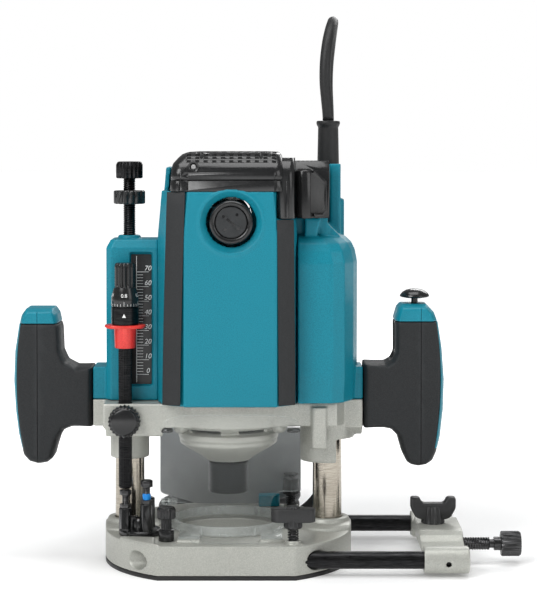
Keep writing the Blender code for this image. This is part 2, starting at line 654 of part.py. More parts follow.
def make_cord():
    x, y = GUARD_AT
    profile = [(0, 247.5), (8.2, 247.5), (7.2, 298), (8.4, 300), (8.4, GUARD_TOP), (0, GUARD_TOP)]
    piece("cord_guard", "rubber", turned(profile, 22, (x, y, 0)), (x, y, 0))
    curve = bpy.data.curves.new("cord", "CURVE")
    curve.dimensions = "3D"
    curve.bevel_depth = CORD_DIAMETER / 2 * MM
    curve.bevel_resolution = 2
    curve.use_fill_caps = True
    points = smooth_route(CORD_ROUTE, 2.1 * CORD_DIAMETER)
    spline = curve.splines.new("POLY")
    spline.points.add(len(points) - 1)
    for target, point in zip(spline.points, points):
        target.co = (*(point * MM), 1)
    cord = bpy.data.objects.new("cord", curve)
    cord.parent = bpy.data.objects["machine"]
    bpy.context.collection.objects.link(cord)
    curve.materials.append(material("rubber"))
    x, y = COIL_AT
    half = 1.5 * CORD_DIAMETER  # three turns side by side
    outer, inner = COIL_MEAN_RADIUS + half, COIL_MEAN_RADIUS - half
    piece("cord_coil", "rubber", tube(outer, inner, 0.2, COIL_HEIGHT, 40, (x, y, 0)), (x, y, 0))
    # The plug lies on the coil, where the last turn runs into it
    width, height, length = 34.0, 26.0, 38.0
    at = (length / 2 + 1, y + PLUG_FROM_COIL, COIL_HEIGHT + GAP + height / 2)
    body = plate(oblong(width, height, 10, 4), -length / 2, length / 2, "X", at)
    pins = [rod(2.4, 10, 38, 10, (at[0], at[1] + dy, at[2]), "X") for dy in (-9.5, 9.5)]
    piece("plug", "rubber", body, at, add=pins)


def main():
    clear_scene()
    machine = bpy.data.objects.new("machine", None)
    machine.location = Vector(MACHINE_AT) * MM
    bpy.context.collection.objects.link(machine)
    make_base()
    make_height_stop()
    make_dust_parts()
    make_stops()
    make_clamps()
    make_guide()
    make_bracket()
    make_housing()
    make_vent_cap()
    make_gauge_cover()
    make_right_cover()
    make_handles()
    make_levers()
    make_depth_gauge()
    make_motor()
    make_cord()


main()
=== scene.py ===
"""The looks of a large plunge router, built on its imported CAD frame.

Shapes are written in millimetres on the machine's own axes: the spindle is X = Y = 0, the sole's underside is
Z = 0, X runs from the left column to the right one and Y from front to back. `put` moves a finished shape to
the frame of the CAD, in metres.
"""

import json
import math

import bmesh
import bpy
from mathutils import Matrix, Vector


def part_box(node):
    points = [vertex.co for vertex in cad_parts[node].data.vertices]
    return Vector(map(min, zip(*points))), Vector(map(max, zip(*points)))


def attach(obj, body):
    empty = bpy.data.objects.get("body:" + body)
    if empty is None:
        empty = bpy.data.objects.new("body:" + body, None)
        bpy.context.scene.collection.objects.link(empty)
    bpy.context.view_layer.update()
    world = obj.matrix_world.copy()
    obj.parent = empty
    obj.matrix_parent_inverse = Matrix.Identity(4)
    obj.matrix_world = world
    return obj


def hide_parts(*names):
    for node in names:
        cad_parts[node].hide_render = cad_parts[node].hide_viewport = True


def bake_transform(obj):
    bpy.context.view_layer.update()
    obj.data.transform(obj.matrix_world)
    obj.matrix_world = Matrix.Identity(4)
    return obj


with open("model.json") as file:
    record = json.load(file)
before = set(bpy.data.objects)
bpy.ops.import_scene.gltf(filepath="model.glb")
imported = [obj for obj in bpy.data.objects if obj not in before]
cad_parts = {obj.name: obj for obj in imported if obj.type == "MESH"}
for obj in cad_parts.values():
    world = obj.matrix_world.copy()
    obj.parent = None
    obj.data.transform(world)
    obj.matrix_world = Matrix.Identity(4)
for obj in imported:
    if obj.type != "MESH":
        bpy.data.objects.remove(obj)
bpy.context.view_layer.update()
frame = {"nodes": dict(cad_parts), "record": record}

MM = 0.001


def box_mm(node):
    """A CAD node's lowest and highest corners on the machine's axes, in millimetres."""
    low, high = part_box(node)
    return (low - MACHINE) / MM, (high - MACHINE) / MM


def middle(node):
    low, high = box_mm(node)
    return (low + high) / 2


stator_low, stator_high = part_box("stator")
MACHINE = Vector(((stator_low.x + stator_high.x) / 2, (stator_low.y + stator_high.y) / 2, 0))

# Sizes read from the frame
GAP = 0.3
COLUMN_X = middle("column_right").x
COLUMN_RADIUS = (box_mm("column_right")[1].x - box_mm("column_right")[0].x) / 2
COLUMN_TOP = box_mm("column_right")[1].z
BASE_FRONT = box_mm("base_sole")[0].y
BASE_RADIUS = box_mm("base_sole")[1].x
SOLE_TOP = box_mm("base_sole")[1].z
ROD_Y = middle("guide_rod_rear").y
ROD_Z = middle("guide_rod_rear").z
ROD_RADIUS = (box_mm("guide_rod_rear")[1].z - box_mm("guide_rod_rear")[0].z) / 2
CLAMP_X = middle("rod_clamp_front").x
BRACKET_TOP = box_mm("motor_bracket")[1].z
SHELL_BOTTOM = box_mm("rear_housing")[0].z
SHELL_TOP = box_mm("rear_housing")[1].z
POLE_AT = (middle("depth_pole").x, middle("depth_pole").y)
TURRET_AT = (middle("stopper_turret").x, middle("stopper_turret").y)
BRUSH_AT = (middle("brush_cap_front").x, middle("brush_cap_front").z)
COIL_AT = (middle("cord_coil").x, middle("cord_coil").y)

# Sizes that no node's box gives
BASE_TOP = 21.8
OPENING_RADIUS = 36.0
COVER_CEILING = 214.5  # under the tops of both column covers
NECK_TOP = 133.6  # of the blocks that the grips' necks meet
CORD_RADIUS = 4.0
CORD_LENGTH = 2500.0
PLUG_LENGTH = 38.0  # without its pins

# ---- materials -----------------------------------------------------------------------------------------


class Finish:
    """A Principled material whose colour, roughness and bump come from noise at the real surface's scale."""

    def __init__(self, name, roughness, metallic=0.0, **sockets):
        self.material = bpy.data.materials.new(name)
        self.material.use_nodes = True
        self.tree = self.material.node_tree
        self.shader = self.tree.nodes["Principled BSDF"]
        self.shader.inputs["Roughness"].default_value = roughness
        self.shader.inputs["Metallic"].default_value = metallic
        for label, value in sockets.items():
            self.shader.inputs[label.replace("_", " ")].default_value = value
        self.coordinates = self.tree.nodes.new("ShaderNodeTexCoord").outputs["Object"]
        self.height = None

    def link(self, source, target):
        self.tree.links.new(source, target)

    def noise(self, size_mm, stretch=(1, 1, 1), detail=3.0):
        """Noise whose features are about this size, drawn out along an axis by a stretch below 1."""
        mapping = self.tree.nodes.new("ShaderNodeMapping")
        mapping.inputs["Scale"].default_value = stretch
        texture = self.tree.nodes.new("ShaderNodeTexNoise")
        texture.inputs["Scale"].default_value = 1 / (size_mm * MM)
        texture.inputs["Detail"].default_value = detail
        self.link(self.coordinates, mapping.inputs["Vector"])
        self.link(mapping.outputs["Vector"], texture.inputs["Vector"])
        return texture.outputs["Fac"]

    def edges(self):
        """High on outer edges and low in corners."""
        return self.tree.nodes.new("ShaderNodeNewGeometry").outputs["Pointiness"]

    def remap(self, source, low, high, to_low=0.0, to_high=1.0):
        node = self.tree.nodes.new("ShaderNodeMapRange")
        for label, value in (
            ("From Min", low), ("From Max", high), ("To Min", to_low), ("To Max", to_high)
        ):
            node.inputs[label].default_value = value
        self.link(source, node.inputs["Value"])
        return node.outputs["Result"]

    def colour(self, *layers):
        """Colours laid over each other: the first is a plain one, then (factor, colour) each time."""
        current = self.tree.nodes.new("ShaderNodeRGB").outputs["Color"]
        current.default_value = (*layers[0], 1)
        for factor, over in layers[1:]:
            mix = self.tree.nodes.new("ShaderNodeMix")
            mix.data_type = "RGBA"
            self.link(factor, mix.inputs["Factor"])
            self.link(current, mix.inputs[6])
            mix.inputs[7].default_value = (*over, 1)
            current = mix.outputs[2]
        self.link(current, self.shader.inputs["Base Color"])
        return self

    def roughness(self, source, low, high):
        self.link(self.remap(source, 0.3, 0.7, low, high), self.shader.inputs["Roughness"])
        return self

    def bump(self, source, depth_mm, strength=1.0):
        """Adds a layer of bump of this depth under the ones that are there."""
        node = self.tree.nodes.new("ShaderNodeBump")
        node.inputs["Strength"].default_value = strength
        node.inputs["Distance"].default_value = depth_mm * MM
        self.link(source, node.inputs["Height"])
        if self.height:
            self.link(self.height, node.inputs["Normal"])
        self.height = node.outputs["Normal"]
        self.link(self.height, self.shader.inputs["Normal"])
        return self


FINISHES = {}


def moulded(name, dark, light, grain_mm, depth_mm, rough, edge_rub_and_sheen=None, metallic=0.0, gloss=0.5):
    """A moulded or painted surface: speckle, broad unevenness, and lighter edges, partly rub wear and partly
    a painted highlight.
    """
    made = Finish(name, rough[0], metallic, Specular_IOR_Level=gloss)
    speckle, cloud = made.noise(grain_mm, detail=2.0), made.noise(45, detail=2.0)
    layers = [
        dark, (made.remap(speckle, 0.36, 0.64), light), (made.remap(cloud, 0.35, 0.75, 0.0, 0.25), light)
    ]
    # The edge colour, laid on where Pointiness is high, is partly rub wear and partly a painted highlight.
    if edge_rub_and_sheen:
        layers.append((made.remap(made.edges(), 0.515, 0.60, 0.0, 0.55), edge_rub_and_sheen))
    made.colour(*layers)
    made.roughness(made.noise(grain_mm * 4), *rough)
    made.bump(speckle, depth_mm, 0.6)
    FINISHES[name] = made.material
    return made


def make_finishes():
    # The seventh colour, where one is given, lightens the finish's edges: partly rub wear and partly a
    # painted highlight.
    moulded(
        "teal_shell", (0.0025, 0.158, 0.222), (0.0055, 0.215, 0.290), 0.55, 0.02, (0.34, 0.46),
        (0.015, 0.25, 0.35), gloss=0.26
    )
    moulded(
        "cast_alloy", (0.33, 0.335, 0.305), (0.50, 0.505, 0.462), 0.5, 0.05, (0.36, 0.52),
        (0.60, 0.60, 0.56), metallic=0.35
    )
    moulded(
        "grip_rubber", (0.012, 0.0135, 0.0145), (0.024, 0.0255, 0.027), 0.5, 0.05, (0.50, 0.64),
        (0.05, 0.053, 0.055), gloss=0.25
    )
    moulded(
        "knob_rubber", (0.008, 0.0085, 0.009), (0.018, 0.0185, 0.019), 0.4, 0.03, (0.38, 0.55),
        (0.06, 0.06, 0.062)
    )
    moulded(
        "strip_rubber", (0.014, 0.0155, 0.0165), (0.025, 0.0265, 0.028), 0.35, 0.03, (0.52, 0.66),
        (0.05, 0.05, 0.052), gloss=0.25
    )
    moulded(
        "black_plastic", (0.0060, 0.0063, 0.0068), (0.0095, 0.0100, 0.0106), 0.6, 0.003, (0.16, 0.26),
        (0.022, 0.0225, 0.023)
    )
    moulded(
        "cord_rubber", (0.008, 0.0085, 0.009), (0.017, 0.0175, 0.018), 0.6, 0.02, (0.44, 0.58), gloss=0.35
    )
    moulded("sole_plastic", (0.006, 0.006, 0.0065), (0.014, 0.014, 0.0145), 0.5, 0.02, (0.42, 0.58))
    moulded(
        "red_plastic", (0.56, 0.018, 0.014), (0.70, 0.034, 0.026), 0.8, 0.012, (0.28, 0.40),
        (0.80, 0.09, 0.07)
    )
    moulded("scale_print", (0.006, 0.006, 0.0065), (0.012, 0.012, 0.0125), 0.7, 0.008, (0.30, 0.42))
    moulded("white_print", (0.66, 0.67, 0.66), (0.82, 0.82, 0.81), 0.5, 0.004, (0.45, 0.60))
    moulded("thread_paint", (0.0, 0.16, 0.52), (0.0, 0.26, 0.72), 0.8, 0.06, (0.35, 0.50))
    moulded("fan_plastic", (0.05, 0.05, 0.05), (0.09, 0.09, 0.09), 0.6, 0.02, (0.45, 0.60))
    moulded("carbon", (0.02, 0.02, 0.02), (0.04, 0.04, 0.04), 0.3, 0.03, (0.60, 0.75))
    for name, dark, light, rough in (
        ("column_steel", (0.30, 0.27, 0.225), (0.48, 0.44, 0.375), (0.14, 0.26)),
        ("spring_steel", (0.30, 0.30, 0.30), (0.45, 0.45, 0.45), (0.25, 0.40)),
        ("shaft_steel", (0.40, 0.40, 0.40), (0.58, 0.58, 0.58), (0.20, 0.35)),
        ("bolt_steel", (0.035, 0.035, 0.036), (0.11, 0.11, 0.112), (0.24, 0.42)),
        ("black_rod", (0.012, 0.012, 0.013), (0.040, 0.040, 0.041), (0.26, 0.42)),
        ("collet_steel", (0.014, 0.015, 0.016), (0.034, 0.035, 0.037), (0.34, 0.50)),
        ("copper_winding", (0.34, 0.13, 0.05), (0.62, 0.28, 0.12), (0.30, 0.45))
    ):
        made = Finish(name, rough[0], 1.0)
        turned_lines = made.noise(0.35, (0.05, 0.05, 1.0), 2.0)
        blotch = made.noise(14)
        made.colour(
            dark, (made.remap(turned_lines, 0.3, 0.7), light), (made.remap(blotch, 0.5, 0.8, 0, 0.35), dark)
        )
        made.roughness(made.noise(2.0, (0.3, 0.3, 1.0)), *rough)
        made.bump(turned_lines, 0.008, 0.5)
        FINISHES[name] = made.material
    # clear_edge is a lighter, less see-through copy of clear_plastic: a painted highlight on the deflector's
    # cut edges. The dust collar wears it too.
    for name, tint, alpha, rough in (
        ("clear_plastic", (0.45, 0.48, 0.47), 0.035, 0.05), ("clear_edge", (0.60, 0.64, 0.62), 0.34, 0.10),
        ("smoke_plastic", (0.34, 0.35, 0.36), 0.93, 0.16)
    ):
        made = Finish(name, rough, Alpha=alpha, IOR=1.49)
        haze = made.noise(9.0)
        lighter = tuple(min(1.0, c * 1.12) for c in tint)
        made.colour(tint, (made.remap(haze, 0.3, 0.7), lighter))
        made.bump(made.noise(5.0), 0.01, 0.3)
        made.roughness(made.noise(3.0), rough, rough + 0.08)
        FINISHES[name] = made.material


# ---- outlines ------------------------------------------------------------------------------------------


def arc(centre, radius, start, end, steps):
    """Points of an arc, from start to end in degrees."""
    turns = [math.radians(start + (end - start) * i / steps) for i in range(steps + 1)]
    return [(centre[0] + radius * math.cos(t), centre[1] + radius * math.sin(t)) for t in turns]


def oblong(width, depth, radius, steps=8):
    """A rectangle with round corners, centred on zero."""
    x, y = width / 2 - radius, depth / 2 - radius
    corners = [((x, -y), -90), ((x, y), 0), ((-x, y), 90), ((-x, -y), 180)]
    return [p for at, start in corners for p in arc(at, radius, start, start + 90, steps)]


def soften(outline, radius, steps=6):
    """The outline with each corner drawn as a curve that starts this far from it."""
    made = []
    points = [Vector(p) for p in outline]
    for before, at, after in zip(points[-1:] + points[:-1], points, points[1:] + points[:1]):
        start = at + (before - at).normalized() * min(radius, (before - at).length * 0.48)
        end = at + (after - at).normalized() * min(radius, (after - at).length * 0.48)
        for i in range(steps + 1):
            t = i / steps
            made.append(start * (1 - t) ** 2 + at * 2 * t * (1 - t) + end * t**2)
    return [tuple(p) for p in made]


def base_outline(steps=150):
    flat = math.degrees(math.asin(BASE_FRONT / BASE_RADIUS))
    return arc((0, 0), BASE_RADIUS, flat, 180 - flat, steps)


# ---- meshes, in millimetres ----------------------------------------------------------------------------


def loft(rings, closed=False):
    """A solid through rings. A closed loft joins its last ring to its first."""
    mesh = bmesh.new()
    rows = [[mesh.verts.new(point) for point in ring] for ring in rings]
    for low, high in list(zip(rows, rows[1:])) + ([(rows[-1], rows[0])] if closed else []):
        count = max(len(low), len(high))
        for i in range(count):
            j = (i + 1) % count
            if len(low) == 1:
                mesh.faces.new((low[0], high[j], high[i]))
            elif len(high) == 1:
                mesh.faces.new((low[i], low[j], high[0]))
            else:
                mesh.faces.new((low[i], low[j], high[j], high[i]))
    if not closed:
        for row in (rows[0], rows[-1]):
            if len(row) > 2:
                mesh.faces.new(row)
    bmesh.ops.recalc_face_normals(mesh, faces=mesh.faces)
    return mesh


def on_axis(axis, across, along, height):
    return {"X": (height, across, along), "Y": (along, height, across), "Z": (across, along, height)}[axis]


def turned(profile, sides=64, at=(0, 0, 0), axis="Z", hollow=False, ripple=None):
    """A profile of (radius, height) turned about an axis. ripple(radius, height, turn) changes the radius."""
    rings = []
    for radius, height in profile:
        ring = []
        for i in range(1 if radius == 0 else sides):
            turn = 2 * math.pi * i / sides
            out = ripple(radius, height, turn) if ripple and radius else radius
            ring.append(
                Vector(at) + Vector(on_axis(axis, out * math.cos(turn), out * math.sin(turn), height))
            )
        rings.append(ring)
    return loft(rings, closed=hollow)


def rod(radius, start, end, at=(0, 0, 0), axis="Z", sides=64):
    return turned([(radius, start), (radius, end)], sides, at, axis)


def tube(outer, inner, start, end, at=(0, 0, 0), axis="Z", sides=64):
    return turned(
        [(outer, start), (outer, end), (inner, end), (inner, start)], sides, at, axis, hollow=True
    )


def ball(radius, at, squash=1.0):
    mesh = bmesh.new()
    bmesh.ops.create_uvsphere(mesh, u_segments=32, v_segments=16, radius=radius)
    bmesh.ops.scale(mesh, verts=mesh.verts, vec=(1, 1, squash))
    bmesh.ops.translate(mesh, verts=mesh.verts, vec=at)
    return mesh


def plate(outline, low, high, axis="Z", at=(0, 0, 0)):
    """An outline given thickness along an axis. On X it holds (y, z), on Y (x, z), and on Z (x, y)."""
    spot = {"X": lambda p, h: (h, *p), "Y": lambda p, h: (p[0], h, p[1]), "Z": lambda p, h: (*p, h)}[axis]
    return loft([[Vector(at) + Vector(spot(p, h)) for p in outline] for h in (low, high)])


def block(low, high):
    outline = [(low[0], low[1]), (high[0], low[1]), (high[0], high[1]), (low[0], high[1])]
    return plate(outline, low[2], high[2])


def sweep(points, radius, sides=12):
    """A round tube along points, with its section carried along without twist."""
    points = [Vector(p) for p in points]
    side = None
    rings = []
    for i, at in enumerate(points):
        along = (points[min(i + 1, len(points) - 1)] - points[max(i - 1, 0)]).normalized()
        side = (along.orthogonal() if side is None else side - along * side.dot(along)).normalized()
        other = along.cross(side)
        turns = [2 * math.pi * k / sides for k in range(sides)]
        rings.append([at + (side * math.cos(t) + other * math.sin(t)) * radius for t in turns])
    return loft(rings)


def helix(at, mean, wire, low, high, turns, steps=24):
    points = []
    for i in range(turns * steps + 1):
        turn = 2 * math.pi * i / steps
        points.append(
            (
                at[0] + mean * math.cos(turn), at[1] + mean * math.sin(turn),
                low + (high - low) * i / (turns * steps)
            )
        )
    return sweep(points, wire, 8)


def flutes(count, depth, low=-1e9, high=1e9, sharp=1):
    """A ripple of this many grooves round a knob, between two heights."""

    def ripple(radius, height, turn):
        groove = (0.5 - 0.5 * math.cos(count * turn)) ** sharp
        return radius - depth * groove if low <= height <= high else radius

    return ripple


def thread(pitch, depth, low, high):
    """A ripple that winds a screw thread on a shank between two heights."""

    def ripple(radius, height, turn):
        phase = abs(((height / pitch - turn / (2 * math.pi)) % 1.0) * 2 - 1)
        return radius - depth * phase if low < height < high else radius

    return ripple


def levels(low, high, step):
    count = max(1, round((high - low) / step))
    return [low + (high - low) * i / count for i in range(count + 1)]


# ---- objects -------------------------------------------------------------------------------------------


def put(name, mesh):
    """A new object in the scene for a shape drawn in millimetres on the machine's axes."""
    data = bpy.data.meshes.new(name)
    mesh.to_mesh(data)
    mesh.free()
    data.transform(Matrix.Translation(MACHINE) @ Matrix.Scale(MM, 4))
    obj = bpy.data.objects.new(name, data)
    bpy.context.scene.collection.objects.link(obj)
    return obj


def settle(obj):
    """Replaces the object's mesh by what its modifiers make of it."""
    bpy.context.view_layer.update()
    graph = bpy.context.evaluated_depsgraph_get()
    data = bpy.data.meshes.new_from_object(obj.evaluated_get(graph))
    old = obj.data
    obj.modifiers.clear()
    obj.data = data
    bpy.data.meshes.remove(old)
    data.name = obj.name


def combine(obj, add=(), cut=()):
    """Joins shapes to the object and cuts others from it."""
    helpers = []
    for operation, shapes in (("UNION", add), ("DIFFERENCE", cut)):
        for shape in shapes:
            helper = put(obj.name + "_tool", shape)
            helpers.append(helper)
            modifier = obj.modifiers.new(operation, "BOOLEAN")
            modifier.operation = operation
            modifier.solver = "MANIFOLD"
            modifier.object = helper
    if helpers:
        settle(obj)
    for helper in helpers:
        data = helper.data
        bpy.data.objects.remove(helper)
        bpy.data.meshes.remove(data)


def melt(obj, voxel_mm, rounds, keep=0.35):
    """Rounds every edge as on a casting or a moulding: an even mesh, smoothed and then thinned."""
    remesh = obj.modifiers.new("voxels", "REMESH")
    remesh.mode = "VOXEL"
    remesh.voxel_size = voxel_mm * MM
    smooth = obj.modifiers.new("round", "SMOOTH")
    smooth.factor = 0.5
    smooth.iterations = rounds
    thin = obj.modifiers.new("thin", "DECIMATE")
    thin.ratio = keep
    settle(obj)


def bevel(obj, width_mm, angle=32, segments=3):
    modifier = obj.modifiers.new("edges", "BEVEL")
    modifier.width = width_mm * MM
    modifier.segments = segments
    modifier.limit_method = "ANGLE"
    modifier.angle_limit = math.radians(angle)
    modifier.harden_normals = True
    settle(obj)


def piece(
    name, body, finish, shape, add=(), cut=(), soft=None, edge=None, split=(), extra=(), replaces=(),
):
    """One visible piece. soft is (voxel, rounds) for melt, and split is what is cut after it. edge is the
    width of a bevel, and extra holds shapes that are laid on without a join."""
    obj = put(name, shape)
    combine(obj, add, cut)
    if soft:
        melt(obj, *soft)
    if split:
        combine(obj, (), split)
    if edge:
        bevel(obj, edge)
    for index, shape in enumerate(extra):
        more = put(f"{name}_more_{index}", shape)
        joined = bmesh.new()
        joined.from_mesh(obj.data)
        joined.from_mesh(more.data)
        joined.to_mesh(obj.data)
        joined.free()
        bpy.data.objects.remove(more)
    obj.data.materials.clear()
    obj.data.materials.append(FINISHES[finish])
    obj.data.shade_smooth()
    if not soft or split:
        obj.data.set_sharp_from_angle(angle=math.radians(38))
    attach(obj, body)
    if replaces:
        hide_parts(*([replaces] if isinstance(replaces, str) else replaces))
    return obj


# ---- base ----------------------------------------------------------------------------------------------


def make_base():
    columns = [(-COLUMN_X, 0), (COLUMN_X, 0)]
    pad = arc((0, 0), BASE_RADIUS - 0.2, 212, 237.6, 14) + [
        (-44, BASE_FRONT + 0.2), (-47.5, -66), (-48.5, -47), (-61, -45)
    ]
    front_rim = [(-44, BASE_FRONT), (47, BASE_FRONT), (47, -68.6), (-44, -68.6)]
    skirt = [(22.5, 15), (22.2, 23.2), (19.0, 25.2), (16, 25.6)]
    bosses = [turned([(15.6, 15), (15.6, 26.5), (14.4, 28.8)], 72, (x, y, 0)) for x, y in columns]
    skirts = [turned(skirt, 72, (x, y, 0)) for x, y in columns]
    bores = [rod(ROD_RADIUS + 0.4, -95, 95, (0, y, ROD_Z), "X", 48) for y in (-ROD_Y, ROD_Y)]
    trim = tube(140, BASE_RADIUS, 0, 60, sides=180)
    front_trim = block((-120, -140, 0), (120, BASE_FRONT, 60))
    piece(
        "base_body", "base", "cast_alloy", plate(base_outline(), SOLE_TOP + GAP, BASE_TOP),
        add=[plate(pad, 19, 23.8), plate(front_rim, 18, BASE_TOP + 0.6)]
        + bosses + skirts + [rod(5.4, 18, 24.5, (CLAMP_X, y, 0)) for y in (-ROD_Y, ROD_Y)]
        + [block((x, -57, 20), (x + 15.6, -50.5, 23.4)) for x in (-33.2, 22.0)],
        cut=[rod(OPENING_RADIUS, -1, 40, sides=120), rod(41.2, 19.6, 40, sides=120)]
        + [rod(COLUMN_RADIUS + 0.4, 5.6, 40, (x, y, 0)) for x, y in columns]
        + [rod(3.4, ROD_Z, 40, (CLAMP_X, y, 0)) for y in (-ROD_Y, ROD_Y)] + bores + [trim, front_trim],
        soft=(0.75, 3), split=[block((1.7, -74, 2), (2.1, BASE_FRONT + 0.35, 22.6))],
        replaces="base_casting"
    )
    piece(
        "base_sole_plate", "base", "sole_plastic", plate(base_outline(), 0, SOLE_TOP),
        cut=[rod(OPENING_RADIUS, -1, 5, sides=120)]
        + [
            turned([(4.2, -1), (4.2, 0.6), (2.2, 1.6), (2.2, 3)], 32, (x, y, 0))
            for x, y in ((-56, 38), (56, 38), (-52, -44), (52, -44))
        ],
        edge=0.35, replaces="base_sole"
    )
    for side, x in (("left", -COLUMN_X), ("right", COLUMN_X)):
        bore = COLUMN_RADIUS - 2.3
        profile = [(COLUMN_RADIUS - 0.5, 6), (COLUMN_RADIUS, 6.6), (COLUMN_RADIUS, COLUMN_TOP - 1)]
        profile += [(COLUMN_RADIUS - 1, COLUMN_TOP), (bore, COLUMN_TOP), (bore, 6)]
        column = turned(profile, 96, (x, 0, 0), hollow=True)
        piece(f"guide_column_{side}", "base", "column_steel", column, replaces=f"column_{side}")


def make_height_stop():
    at = (-COLUMN_X, 0, 0)
    top = box_mm("height_rod")[1].z
    rows = [(4.3, z) for z in levels(222, top - 11.8, 0.25)]
    profile = [
        (0, 8), (4.3, 8), *rows, (8.6, top - 11.6), (9.2, top - 11.0), (9.2, top - 2.2), (8.2, top - 0.4),
        (7.2, top), (0, top)
    ]

    def shape(radius, height, turn):
        if height > top - 11.7:
            return flutes(18, 0.9, high=top - 0.5)(radius, height, turn)
        return thread(1.5, 0.55, 222, top - 11.8)(radius, height, turn)

    piece(
        "height_stop_rod", "height_rod", "black_rod", turned(profile, 108, at, ripple=shape),
        replaces="height_rod"
    )
    low, high = box_mm("height_nut")
    profile = [
        (5.0, low.z), (10.2, low.z), (10.9, low.z + 0.7), (10.9, high.z - 0.7), (10.2, high.z),
        (5.0, high.z)
    ]
    knurl = flutes(14, 1.0, sharp=2)

    def outside(radius, height, turn):
        return knurl(radius, height, turn) if radius > 6 else radius

    nut = turned(profile, 112, at, hollow=True, ripple=outside)
    piece("height_stop_nut", "height_nut", "black_plastic", nut, replaces="height_nut")


def make_dust_parts():
    low = BASE_TOP + GAP
    outline = [
        (-43.7, 47.5), (-26, 50), (-24, low), (27.7, low), (29, 51), (34, 56.8), (47.5, 56.8), (49, 60),
        (49, 101.5)
    ]
    outline += [(45, 104.6), (32, 107.2), (-28, 107.2), (-40, 104.4), (-43.7, 101.0)]
    outline = soften(outline, 4.0)
    front, back = -61.5, -59.0
    deflector = piece(
        "deflector_plate", "base", "clear_plastic", plate(outline, front, back, "Y"),
        add=[block((-43.7, -60, 47.6), (-33, -46, 49.6))], cut=[rod(2.4, 40, 60, (-40.4, -51, 0))],
        edge=0.3, replaces="chip_deflector"
    )
    # The deflector's edge faces take clear_edge, their painted highlight.
    deflector.data.materials.append(FINISHES["clear_edge"])
    for face in deflector.data.polygons:
        if abs(face.normal.y) < 0.9:
            face.material_index = 1
    profile = [
        (40, low), (40, low + 1.2), (39.2, low + 1.8), (39.2, 27.4), (38.6, 28.2), (37.6, 28.2),
        (37.0, 27.6), (37, low)
    ]
    feet = [block((x, -54, low), (x + 14.3, -24, low + 2)) for x in (-32.6, 22.7)]
    lugs = [block((x, 37.5, low), (x + 9, 40.5, low + 3.4)) for x in (-26, 17)]
    ribs = [block((x, -39.4, low), (x + 1.2, -37.6, 27.6)) for x in (-18, -6, 6, 18)]
    piece(
        "dust_collar", "base", "clear_edge", turned(profile, 120, hollow=True), add=feet + lugs + ribs,
        cut=[rod(37.02, 15, 40, sides=120)], edge=0.25, replaces="dust_ring"
    )
    shield = [
        (-25, low), (25, low), (51.4, 30), (51.4, 58), (54.4, 72), (54.4, 78), (-51.7, 78), (-51.7, 30)
    ]
    piece(
        "rear_shield_plate", "base", "smoke_plastic", plate(soften(shield, 3.0), 76, 78, "Y"), edge=0.4,
        replaces="rear_dust_shield"
    )
    at = (-40.4, -51, 0)
    head_low, head_high = 36.8, 44.5
    profile = [
        (0, low), (5.2, low), (5.2, 29.5), (3.6, 29.8), (3.6, head_low), (5.6, head_low),
        (6.3, head_low + 0.7)
    ]
    profile += [(6.3, head_high - 1.2), (5.2, head_high), (0, head_high)]
    knurl = flutes(16, 0.7, low=head_low, high=head_high - 0.5)
    piece(
        "deflector_thumb_screw", "deflector_screw", "black_plastic", turned(profile, 96, at, ripple=knurl),
        cut=[block((-46, -51.6, head_high - 1.4), (-34, -50.4, head_high + 1))], edge=0.2,
        replaces="deflector_screw"
    )


